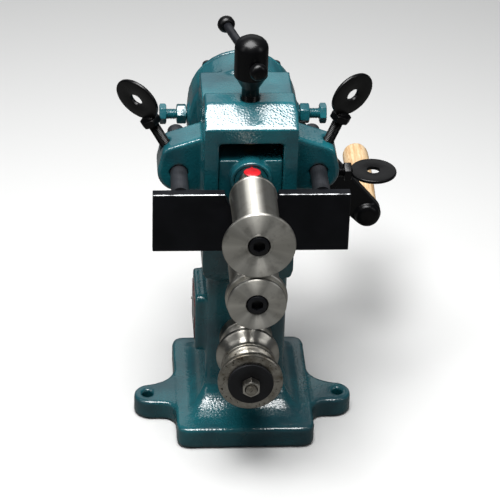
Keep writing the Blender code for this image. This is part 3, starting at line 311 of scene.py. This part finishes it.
# plain bronze bush: dull brown gold
def bearingBronze():
    material, tree, shader, place = startMaterial("bearing bronze", "#a9803f", 0.38, 1.0)
    cloud = addNode(tree, "ShaderNodeTexNoise", {"Vector": place, "Scale": 1 / (9 * mm), "Detail": 4})
    colour = addNode(tree, "ShaderNodeValToRGB", {"Fac": cloud}, stops=[(0.3, "#8c6530"), (0.7, "#b98d4a")])
    feed(tree, shader, Base_Color=colour)
    return material


# moulded polyethylene cap: clean red with a wide shine
def mouldedRed():
    material, tree, shader, place = startMaterial("moulded red cap", "#b0101a", 0.36)
    cloud = addNode(tree, "ShaderNodeTexNoise", {"Vector": place, "Scale": 1 / (6 * mm), "Detail": 3})
    colour = addNode(tree, "ShaderNodeValToRGB", {"Fac": cloud}, stops=[(0.35, "#8f0c14"), (0.75, "#b5161f")])
    feed(tree, shader, Base_Color=colour)
    return material


ratingPlate = {
    "wide": 50.0, "tall": 38.0, "face": -47.5, "middle": (39.0, 104.5), "thick": 0.7, "border": 3.2
}


# thin blank plate: dull aluminium with a worn red printed border
def printedAluminium():
    material, tree, shader, place = startMaterial("printed aluminium", "#b4b4b0", 0.4, 0.6)
    split = addNode(tree, "ShaderNodeSeparateXYZ", {"Vector": place}, out=None)
    edges = []
    for key, middle, size in (
        ("Y", ratingPlate["middle"][0], "wide"), ("Z", ratingPlate["middle"][1], "tall")
    ):
        offset = addNode(tree, "ShaderNodeMath", {0: split[key], 1: middle * mm}, operation="SUBTRACT")
        away = addNode(tree, "ShaderNodeMath", {0: offset}, operation="ABSOLUTE")
        start = (ratingPlate[size] / 2 - ratingPlate["border"]) * mm
        edges.append(addNode(tree, "ShaderNodeMath", {0: away, 1: start}, operation="GREATER_THAN"))
    border = addNode(tree, "ShaderNodeMath", {0: edges[0], 1: edges[1]}, operation="MAXIMUM")
    wear = addNode(tree, "ShaderNodeTexNoise", {"Vector": place, "Scale": 1 / (6 * mm), "Detail": 5})
    kept = addNode(tree, "ShaderNodeValToRGB", {"Fac": wear}, stops=[(0.36, 0.2), (0.5, 0.9)])
    printed = addNode(tree, "ShaderNodeMath", {0: border, 1: kept}, operation="MULTIPLY")
    colour = addNode(tree, "ShaderNodeMix", {0: printed, 6: "#a9aaa8", 7: "#7c2026"}, out=2, data_type="RGBA")
    feed(tree, shader, Base_Color=colour)
    return material


def deselect():
    bpy.ops.object.select_all(action="DESELECT")


def pick(piece):
    deselect()
    piece.select_set(True)
    bpy.context.view_layer.objects.active = piece


def applyModifier(piece, kind, **settings):
    pick(piece)
    step = piece.modifiers.new(kind.lower(), kind)
    for key, value in settings.items():
        setattr(step, key, value)
    bpy.ops.object.modifier_apply(modifier=step.name)


def roundEdges(piece, widthMm, segments=2, angle=30):
    limit = math.radians(angle)
    applyModifier(
        piece,
        "BEVEL",
        width=widthMm * mm,
        segments=segments,
        limit_method="ANGLE",
        angle_limit=limit,
    )


def carve(piece, cutter, operation="DIFFERENCE"):
    applyModifier(piece, "BOOLEAN", operation=operation, solver="EXACT", object=cutter)
    bpy.data.objects.remove(cutter, do_unlink=True)


def joinPieces(first, *others):
    pick(first)
    for other in others:
        other.select_set(True)
    bpy.ops.object.join()
    return first


towardBack = Matrix(((1, 0, 0, 0), (0, 0, 1, 0), (0, 1, 0, 0), (0, 0, 0, 1)))  # local Z runs along +Y


def turnOnLathe(name, loop, segments):
    # loop is the closed outline, (radius, place along Z) in mm, spun once round Z
    deselect()
    bpy.ops.mesh.primitive_circle_add(vertices=len(loop), radius=1)
    piece = bpy.context.object
    piece.name = name
    for vertex, (radius, height) in zip(piece.data.vertices, loop):
        vertex.co = (radius * mm, 0, height * mm)
    bpy.ops.object.mode_set(mode="EDIT")
    bpy.ops.mesh.select_all(action="SELECT")
    bpy.ops.mesh.spin(steps=segments, angle=math.tau, center=(0, 0, 0), axis=(0, 0, 1))
    bpy.ops.mesh.select_all(action="SELECT")
    bpy.ops.mesh.remove_doubles(threshold=0.002 * mm)
    bpy.ops.mesh.normals_make_consistent(inside=False)
    bpy.ops.object.mode_set(mode="OBJECT")
    return piece


def placeMesh(piece, matrix):
    piece.data.transform(matrix)
    if matrix.determinant() < 0:
        piece.data.flip_normals()
    return piece


def atMm(x, y, z):
    return Matrix.Translation((x * mm, y * mm, z * mm))


def threadLoop(radius, low, high, pitch=1.5):
    root = radius - pitch * 0.5
    loop = [(0, low), (root, low)]
    for i in range(int((high - low) / pitch)):
        start = low + pitch * i
        loop += [(root, start + pitch * 0.1), (radius, start + pitch * 0.45), (radius, start + pitch * 0.6)]
    return loop + [(root, high), (0, high)]


def hexBlock(name, across, low, high, bore=0.0, turn=0.0):
    # a hexagon along Z with its corners turned off at both ends
    deselect()
    corner = across / math.sqrt(3)
    bpy.ops.mesh.primitive_cylinder_add(
        vertices=6, radius=corner * mm, depth=(high - low) * mm, rotation=(0, 0, turn)
    )
    block = bpy.context.object
    block.name = name
    bpy.ops.object.transform_apply(location=True, rotation=True, scale=True)
    placeMesh(block, atMm(0, 0, (low + high) / 2))
    reach = corner + 0.05
    inner = across / 2 - 0.3
    edge = (reach - inner) * 0.55
    loop = [(0, low - 0.001), (inner, low - 0.001), (reach, low + edge)]
    loop += [(reach, high - edge), (inner, high + 0.001), (0, high + 0.001)]
    carve(block, turnOnLathe(name + "Turned", loop, 64), "INTERSECT")
    if bore:
        carve(
            block,
            turnOnLathe(
                name + "Bore", [(0, low - 1), (bore, low - 1), (bore, high + 1), (0, high + 1)], 48
            ),
        )
    roundEdges(block, 0.25, 2, 25)
    return block


def finishPiece(piece, body, nodes, material, angle=35):
    piece.data.materials.clear()
    piece.data.materials.append(material)
    pick(piece)
    bpy.ops.object.shade_smooth_by_angle(angle=math.radians(angle))
    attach(piece, body)
    if nodes:
        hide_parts(*nodes)
    return piece


def castCopy(name, node, voxelMm, rounds):
    # the node's shape with its edges and inside corners softened, as sand casting and paint leave them
    piece = bpy.data.objects.new(name, bpy.data.objects[node].data.copy())
    bpy.context.scene.collection.objects.link(piece)
    pick(piece)
    bpy.ops.object.mode_set(mode="EDIT")
    bpy.ops.mesh.select_all(action="SELECT")
    bpy.ops.mesh.remove_doubles(threshold=0.001 * mm)
    bpy.ops.object.mode_set(mode="OBJECT")
    applyModifier(piece, "REMESH", mode="VOXEL", voxel_size=voxelMm * mm, use_smooth_shade=True)
    applyModifier(piece, "SMOOTH", factor=0.5, iterations=rounds)
    print(name, "has", len(piece.data.polygons) * 2, "triangles")
    return piece


def coatNodes(material, *nodes):
    for node in nodes:
        mesh = bpy.data.objects[node].data
        mesh.materials.clear()
        mesh.materials.append(material)


def buildStage():
    deselect()
    bpy.ops.mesh.primitive_plane_add(size=studio["floorSize"], location=(0, 0, 0))
    floor = bpy.context.object
    floor.name = "floor"
    # white paper that the lens sees, toned down where it would throw light back up at the machine
    paper = startMaterial("studio paper", studio["floorColour"], 0.75, Specular_IOR_Level=0.1)
    material, tree, shader = paper[:3]
    seen = addNode(tree, "ShaderNodeLightPath", out="Is Camera Ray")
    tones = {0: seen, 6: studio["floorBounce"], 7: studio["floorColour"]}
    feed(tree, shader, Base_Color=addNode(tree, "ShaderNodeMix", tones, out=2, data_type="RGBA"))
    floor.data.materials.append(material)
    world = bpy.data.worlds.new("studio")
    world.use_nodes = True
    backdrop = world.node_tree.nodes["Background"]
    backdrop.inputs["Color"].default_value = linear(studio["worldColour"])
    backdrop.inputs["Strength"].default_value = studio["worldStrength"]
    bpy.context.scene.world = world
    for name, (place, target, size, power) in studio["boxes"].items():
        softBox(name, place, target, size, power)
    bpy.context.scene.view_settings.view_transform = "Standard"


placeCamera()
buildStage()
print("camera and studio placed")

upperAxis = (0, 0, 270)
lowerAxis = (0, 0, 210)
storedAxis = (0, 0, 96.5)
teal = hammerEnamel()
# each steel's first colour is its end faces' painted reflection, the next two the light and dark of its
# painted highlight streaks
upperSteel = turnedSteel("turned steel, upper roll", upperAxis, "#fbf8ef", "#b3b1aa", "#85837e", 0.5)
lowerSteel = turnedSteel("turned steel, lower roll", lowerAxis, "#fbf8ef", "#b3b1aa", "#85837e", 0.5)
storedSteel = turnedSteel("turned steel, stored roll", storedAxis, "#dbd7cd", "#a5a199", "#3c3a37", 0.34)
rusty = pittedSteel()
oxide = blackOxide("black oxide", "#0f1013", "#222327", 0.34)
dullBlack = blackOxide("blackened mild steel", "#17181b", "#2b2c30", 0.42)
plateBlack = rubbedPlate()
gloss = glossBlack()
beech = beechWood()
bronze = bearingBronze()
red = mouldedRed()
plateMetal = printedAluminium()
print("materials made")

castings = {
    # new piece: node, body, slot, material, remesh size and smoothing rounds
    "machineFrame": ("frame_casting", "frame", "teal_paint", teal, 1.75, 3),
    "gearCoverPlate": ("gear_cover", "frame", "teal_paint", teal, 1.0, 2),
    "slidingBlock": ("upper_front_block", "upper_carrier", "teal_paint", teal, 0.8, 3),
    "crankArmCasting": ("crank_arm", "upper_shaft", "black_paint", gloss, 0.9, 3),
}
for name, (node, body, slotName, material, voxelMm, rounds) in castings.items():
    finishPiece(castCopy(name, node, voxelMm, rounds), body, [node], material, 60)
print("castings softened")

roll = {"front": -119.0, "back": -34.0, "bore": 8.8, "counterbore": 10.0, "web": -108.0, "hole": 5.3}


def rollInside():
    web, hole, bore, recess = roll["web"], roll["hole"], roll["bore"], roll["counterbore"]
    recessed = [(recess, roll["front"]), (recess, web), (hole, web)]
    return recessed + [(hole, web + 4), (bore, web + 4), (bore, roll["back"])]


def upperRoll():
    front, back = roll["front"], roll["back"]
    lip = front + 3.5
    outside = [(20.6, back), (21.5, back - 0.9), (21.5, back - 2.2), (21.0, back - 2.9)]
    outside += [
        (20.1, lip + 8), (20.3, lip + 4), (21.4, lip + 1.6), (23.6, lip + 0.4), (26, lip),
        (31.2, lip),
    ]
    outside += [
        (32, lip - 0.8), (32, front + 0.7), (31.3, front), (12.2, front), (12.0, front + 0.25),
        (11.8, front),
    ]
    piece = turnOnLathe("upperRollTurned", outside + rollInside(), 128)
    placeMesh(piece, atMm(*upperAxis) @ towardBack)
    roundEdges(piece, 0.3, 2, 40)
    finishPiece(piece, "upper_shaft", ["upper_roll"], upperSteel, 30)


def lowerRoll():
    front, back = roll["front"], roll["back"]
    outside = [
        (21.2, back), (22, back - 0.8), (22, -89.5), (21.4, -91), (18.6, -93.6), (17.8, -96),
        (17.8, -100),
    ]
    outside += [(18.8, -102.4), (21.5, -103.2), (26.6, -103.5), (27.5, -104.4), (27.5, -109), (26.7, -109.9)]
    outside += [(22, -110.3), (20.7, -111.2), (20.7, -113.6), (21.6, -114.4), (25.2, -114.6), (26, -115.4)]
    outside += [(26, front + 0.8), (25.2, front)]
    piece = turnOnLathe("lowerRollTurned", outside + rollInside(), 128)
    placeMesh(piece, atMm(*lowerAxis) @ towardBack)
    roundEdges(piece, 0.25, 2, 45)
    finishPiece(piece, "lower_shaft", ["lower_roll"], lowerSteel, 30)


stored = {"face": -74.0, "split": -44.0, "wall": 2.7, "bore": 8.5}


def storedRolls():
    face, split, wall, bore = stored["face"], stored["split"], stored["wall"], stored["bore"]
    # radius and distance behind the front roll's face, then behind the split
    front = [(bore, 0), (28.6, 0), (30, 1.2), (30, 4.8), (28.8, 6.3), (25.2, 8.2), (22.6, 11), (21.6, 14)]
    front += [(21.8, 17), (23.2, 19.5), (24.9, 20.8), (25.5, 22), (25.5, 24.4), (24.9, 24.8), (25.5, 25.3)]
    front += [(25.5, 28.8), (24.8, 29.7), (bore, 29.7)]
    rear = [(bore, 0), (20.4, 0), (21, 0.8), (21.2, 4), (22.4, 7), (25, 10), (28.2, 11.8), (29.3, 13.2)]
    rear += [(29.3, 17), (28.2, 18.8), (24.4, 20.4), (21.4, 23), (19.8, 26.5), (20, 30), (22, 32.6)]
    rear += [(24.4, 33.6), (25, 34.6), (25, wall - split - 1), (24, wall - split), (bore, wall - split)]
    for name, loop, start, node, slotName, material in (
        ("storedFrontRollTurned", front, face, "stored_roll_front", "worn_steel", rusty),
        ("storedRearRollTurned", rear, split, "stored_roll_rear", "turned_steel", storedSteel),
    ):
        piece = turnOnLathe(name, [(radius, start + y) for radius, y in loop], 112)
        placeMesh(piece, atMm(*storedAxis) @ towardBack)
        roundEdges(piece, 0.35, 2, 40)
        finishPiece(piece, "frame", [node], material, 30)


rollScrew = {
    "radius": 9.0,
    "front": -120.3,
    "back": -108.3,
    "shank": 5.0,
    "shankLong": 26.0,
    "socket": 10.0,
    "depth": 6.5,
    "ribs": 36,
    "ribShare": 0.965,
}


def rollScrews():
    radius, front, back, shank = (rollScrew[key] for key in ("radius", "front", "back", "shank"))
    for name, axis, body in (("upper", upperAxis, "upper_shaft"), ("lower", lowerAxis, "lower_shaft")):
        loop = [
            (0, front), (radius - 1.4, front), (radius - 0.4, front + 0.4), (radius, front + 1.2),
            (radius, back),
        ]
        end = back + rollScrew["shankLong"]
        loop += [(shank, back), (shank, end), (0, end)]
        screw = turnOnLathe(name + "SocketScrew", loop, rollScrew["ribs"] * 2)
        # the knurl: every other column of the head's side sits a little lower
        for vertex in screw.data.vertices:
            flat = vertex.co.to_2d()
            if flat.length > (radius - 0.2) * mm:
                column = round(flat.angle_signed(Vector((1, 0))) / math.tau * rollScrew["ribs"] * 2)
                if column % 2:
                    vertex.co.x *= rollScrew["ribShare"]
                    vertex.co.y *= rollScrew["ribShare"]
        carve(screw, hexBlock(name + "Socket", rollScrew["socket"], front - 3, front + rollScrew["depth"]))
        placeMesh(screw, atMm(*axis) @ towardBack)
        finishPiece(screw, body, [name + "_roll_screw"], oxide, 30)


upperRoll()
lowerRoll()
storedRolls()
rollScrews()
print("rolls turned")

storage = {"washer": 21.0, "thick": 3.0, "nut": 15.2, "nutHigh": 8.0, "stud": 5.0, "proud": 3.0, "end": 17.0}


def storageFixings():
    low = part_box("storage_washer")[0]
    face, rim, thick = low[1] / mm, storage["washer"], storage["thick"]
    loop = [(5.4, face), (rim - 0.6, face), (rim, face + 0.5), (rim, face + thick - 0.4)]
    washer = turnOnLathe("bigWasher", loop + [(rim - 0.4, face + thick), (5.4, face + thick)], 96)
    roundEdges(washer, 0.2)
    nutFront = face - 0.3 - storage["nutHigh"]
    nut = hexBlock("storageNutMade", storage["nut"], nutFront, face - 0.3, 5.9)
    thread = threadLoop(storage["stud"], nutFront - storage["proud"], face + 6)[:-2]
    stud = turnOnLathe(
        "storageStudMade",
        thread + [(4.3, face + 6), (4.3, storage["end"]), (0, storage["end"])],
        48,
    )
    for piece, node, slotName, material in (
        (washer, "storage_washer", "dark_steel", dullBlack),
        (nut, "storage_nut", "turned_steel", storedSteel),
        (stud, "storage_stud", "turned_steel", rusty),
    ):
        placeMesh(piece, atMm(*storedAxis) @ towardBack)
        finishPiece(piece, "frame", [node], material, 30)


storageFixings()

bar = {
    "height": 368.5,
    "screwY": 37.0,
    "turn": 13.8,
    "near": 21.65,
    "far": -77.35,
    "radius": 4.0,
    "half": 5.0,
}


def barFrame():
    ahead = Vector((math.sin(math.radians(bar["turn"])), -math.cos(math.radians(bar["turn"])), 0))
    return atMm(0, bar["screwY"], bar["height"]) @ ahead.to_track_quat("Z", "Y").to_matrix().to_4x4()


pressure = {
    "radius": 8.0,
    "pitch": 2.0,
    "head": 15.25,
    # heights of the thread's end, the neck, the shoulder and the foot of the domed top
    "thread": 338.0,
    "neck": 342.6,
    "shoulder": 354.4,
    "dome": 382.5,
}


def pressureScrew():
    low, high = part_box("pressure_screw")
    tip, top = low[2] / mm, high[2] / mm
    radius, pitch, head, dome = (pressure[key] for key in ("radius", "pitch", "head", "dome"))
    loop = [(0, tip), (radius - 2, tip), (radius, tip + 2)]
    for i in range(int((pressure["thread"] - tip - 2) / pitch)):
        start = tip + 2 + pitch * i
        loop += [(radius - 0.9, start + 0.3), (radius - 0.05, start + 0.9), (radius - 0.05, start + 1.2)]
    neck, shoulder = pressure["neck"], pressure["shoulder"]
    loop += [
        (radius - 0.1, neck), (radius + 0.5, neck + 1.2), (head - 1.1, shoulder - 0.8),
        (head, shoulder + 0.4),
    ]
    loop += [(head, dome), (head - 0.4, dome + 2.2), (head - 1.6, dome + 4.8), (head - 3.8, dome + 7.2)]
    loop += [(head - 7, dome + 9.2), (head - 11, dome + 10.6), (0, top)]
    screw = turnOnLathe("pressureScrewMade", loop, 72)
    placeMesh(screw, atMm(0, bar["screwY"], 0))
    hole = [(0, -20), (5.6, -20), (5.6, -14.9), (4.4, -13.6), (4.4, 13.6), (5.6, 14.9), (5.6, 20), (0, 20)]
    carve(screw, placeMesh(turnOnLathe("barHole", hole, 40), barFrame()))
    finishPiece(screw, "pressure_screw", ["pressure_screw"], gloss, 38)


def tommyBar():
    inner, radius = bar["half"] - 3.3, bar["radius"]
    loop = [
        (0, bar["far"] - inner), (radius, bar["far"] - inner), (radius, bar["near"] + inner),
        (0, bar["near"] + inner),
    ]
    rod = turnOnLathe("tommyBarMade", loop, 48)
    placeMesh(rod, barFrame())
    roundEdges(rod, 0.3)
    finishPiece(rod, "tommy_bar", ["tommy_bar"], oxide, 35)
    for name, place, way in (("front", bar["near"], 1), ("rear", bar["far"], -1)):
        loop = [(4.2, -5), (5.6, -5), (7.2, -3.6), (8, -1.6), (8, 1.6), (7.2, 3.4)]
        knob = turnOnLathe(name + "Knob", loop + [(5.6, 4.6), (3, 5), (0, 5), (0, 2), (4.2, 2)], 32)
        placeMesh(knob, barFrame() @ atMm(0, 0, place) @ Matrix.Diagonal((1, 1, way, 1)))
        roundEdges(knob, 0.3, 2, 40)
        finishPiece(knob, "tommy_bar", ["tommy_knob_" + name], gloss, 50)


pressureScrew()
tommyBar()
print("pressure screw made")

thumb = {
    "radius": 5.0,
    "headLow": 49.0,
    "headHigh": 56.0,
    "across": 17.0,
    "disc": 22.5,
    "hole": 6.25,
    "thick": 3.5,
    # the two that lock the gauge rods, and the one on the head's right side
    "rodPlace": (64, 43, 260),
    "rodTip": 8.3,
    "sidePlace": (49, 115, 210),
    "sideTip": -33.7,
}


def thumbScrew(name, node, body, matrix, tip):
    middle = thumb["headHigh"] - 1 + thumb["disc"]
    half, rim = thumb["thick"] / 2, thumb["disc"]
    shank = turnOnLathe(name, threadLoop(thumb["radius"], tip, thumb["headLow"] + 1), 48)
    head = hexBlock(name + "Head", thumb["across"], thumb["headLow"], thumb["headHigh"])
    loop = [(thumb["hole"], -half), (rim - 0.9, -half), (rim - 0.2, 0.6 - half), (rim, 0)]
    disc = turnOnLathe(
        name + "Disc",
        loop + [(rim - 0.2, half - 0.6), (rim - 0.9, half), (thumb["hole"], half)],
        96,
    )
    roundEdges(disc, 0.3)
    placeMesh(disc, atMm(0, 0, middle) @ towardBack)
    # the weld bead where the disc stands in the head
    bead = turnOnLathe(name + "Bead", [(0, 0), (3.4, 0), (2.6, 1.2), (1.4, 2), (0, 2.2)], 24)
    placeMesh(bead, atMm(0, 0, thumb["headHigh"] - 0.2) @ Matrix.Diagonal((2.1, 1.25, 1, 1)))
    piece = joinPieces(shank, head, disc, bead)
    placeMesh(piece, matrix)
    finishPiece(piece, body, [node], gloss, 35)


def thumbScrews():
    x, y, z = thumb["rodPlace"]
    for side, sign, lean, twist in (("left", -1, 29, 42), ("right", 1, 22, -35)):
        leaned = Matrix.Rotation(math.radians(sign * lean), 4, "Y")
        turn = leaned @ Matrix.Rotation(math.radians(-twist), 4, "Z")
        place = atMm(sign * x, y, z) @ turn
        thumbScrew(side + "ThumbScrew", "rod_lock_screw_" + side, "rod_lock_" + side, place, thumb["rodTip"])
    turn = Matrix.Rotation(math.pi / 2, 4, "Y") @ Matrix.Rotation(math.pi / 2, 4, "Z")
    place = atMm(*thumb["sidePlace"]) @ turn
    thumbScrew("sideThumbScrew", "shaft_lock_screw", "shaft_lock", place, thumb["sideTip"])


thumbScrews()
print("thumb screws made")

pivot = {
    "place": (0, 122, 270),
    "tip": (18.0, 4.0),
    "radius": 5.0,
    "thread": 24.3,
    "head": (72.5, 79.0),
    "nut": (53.8, 62.8),
    "nutBore": 5.3,
    "nutTurn": 0.3,
    "across": 17.0,
}


def pivotBolts():
    tip, radius = pivot["tip"]
    for side, sign in (("left", -1), ("right", 1)):
        place = atMm(*pivot["place"]) @ Matrix.Rotation(sign * math.pi / 2, 4, "Y")
        nose = [(0, tip), (radius, tip), (radius, pivot["thread"])]
        thread = threadLoop(pivot["radius"], pivot["thread"], pivot["head"][0] + 0.5)[1:]
        shank = turnOnLathe(side + "PivotBolt", nose + thread, 48)
        bolt = joinPieces(shank, hexBlock(side + "PivotHead", pivot["across"], *pivot["head"]))
        nut = hexBlock(side + "PivotNut", pivot["across"], *pivot["nut"], pivot["nutBore"], pivot["nutTurn"])
        for piece, node in ((bolt, "pivot_bolt_" + side), (nut, "pivot_nut_" + side)):
            placeMesh(piece, place)
            finishPiece(piece, "frame", [node], teal, 30)


pivotBolts()

gripShape = {"low": 186.0, "high": 293.0, "bore": 4.35, "swell": 13.3, "reach": 190.0, "turn": -46.8}


def woodenGrip():
    low, high, bore, swell = (gripShape[key] for key in ("low", "high", "bore", "swell"))
    angle = math.radians(gripShape["turn"])
    reach = gripShape["reach"]
    x, z = reach * math.cos(angle), upperAxis[2] + reach * math.sin(angle)
    loop = [(bore, low), (8.8, low), (10.4, low + 0.8), (11.4, low + 2.6), (11.6, low + 5)]
    for i in range(13):
        loop.append((11.6 + (swell - 11.6) * math.sin(math.pi * i / 24), low + 6 + 70 * i / 12))
    loop += [
        (swell, high - 9), (13.0, high - 5.6), (12.2, high - 2.8), (10.8, high - 0.9), (9, high),
        (7.8, high),
    ]
    loop += [(7.4, high - 0.3), (7.4, high - 4.3), (bore, high - 4.3)]
    grip = turnOnLathe("turnedGrip", loop, 72)
    placeMesh(grip, atMm(x, 0, z) @ towardBack)
    finishPiece(grip, "grip", ["crank_grip"], beech, 40)


woodenGrip()

oilCap = {"radius": 7.6, "stem": 1.2, "height": 285.0}


def redOilCap():
    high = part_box("oil_cap")[1]
    face, radius, stem = high[1] / mm, oilCap["radius"], oilCap["stem"]
    neck = turnOnLathe("oilCapStem", [(0, face - 6), (stem, face - 6), (stem, face), (0, face)], 24)
    placeMesh(neck, atMm(0, 0, oilCap["height"] - 1) @ towardBack)
    loop = [
        (0, -2), (radius - 2, -2), (radius - 0.4, -1.6), (radius, -1), (radius, -0.6),
        (radius - 0.4, -0.2),
    ]
    dome = turnOnLathe("oilCapDome", loop + [(radius - 2, 0.1), (radius - 4.6, 0.3), (0, 0.4)], 48)
    placeMesh(dome, atMm(0, face - radius - 0.6, oilCap["height"]))
    finishPiece(joinPieces(neck, dome), "upper_carrier", ["oil_cap"], red, 40)


redOilCap()


def addRatingPlate():
    thick, face, (y, z) = ratingPlate["thick"], ratingPlate["face"], ratingPlate["middle"]
    deselect()
    bpy.ops.mesh.primitive_cube_add(size=1, location=((face - thick / 2 + 0.1) * mm, y * mm, z * mm))
    plate = bpy.context.object
    plate.name = "ratingPlate"
    plate.scale = (thick * mm, ratingPlate["wide"] * mm, ratingPlate["tall"] * mm)
    bpy.ops.object.transform_apply(location=True, rotation=True, scale=True)
    roundEdges(plate, 0.25)
    for side in (-1, 1):
        rivet = turnOnLathe("rivet", [(0, 0), (1.7, 0), (1.5, 0.6), (0.9, 1.0), (0, 1.15)], 20)
        where = atMm(face - thick + 0.1, y + side * (ratingPlate["wide"] / 2 - 6), z)
        placeMesh(rivet, where @ Matrix.Rotation(-math.pi / 2, 4, "Y"))
        joinPieces(plate, rivet)
    finishPiece(plate, "frame", [], plateMetal, 35)


addRatingPlate()
print("small pieces made")

coatNodes(plateBlack, "gauge_plate")
coatNodes(dullBlack, "gauge_rod_left", "gauge_rod_right", "upper_rear_block", "upper_gear", "lower_gear")
coatNodes(dullBlack, "lower_gear_ring", "crank_spacer", "crank_nut", "grip_spindle")
coatNodes(dullBlack, *("gear_cover_screw_%d" % number for number in (1, 2, 3, 4)))
coatNodes(bronze, "upper_rear_bush", "lower_front_bush", "lower_rear_bush", "thrust_pad")
coatNodes(teal, "upper_front_bush")
coatNodes(upperSteel, "upper_shaft", "upper_roll_key", "upper_gear_key", "crank_key")
coatNodes(lowerSteel, "lower_shaft", "lower_roll_key", "lower_gear_key")
coatNodes(storedSteel, "return_spring_left", "return_spring_right")
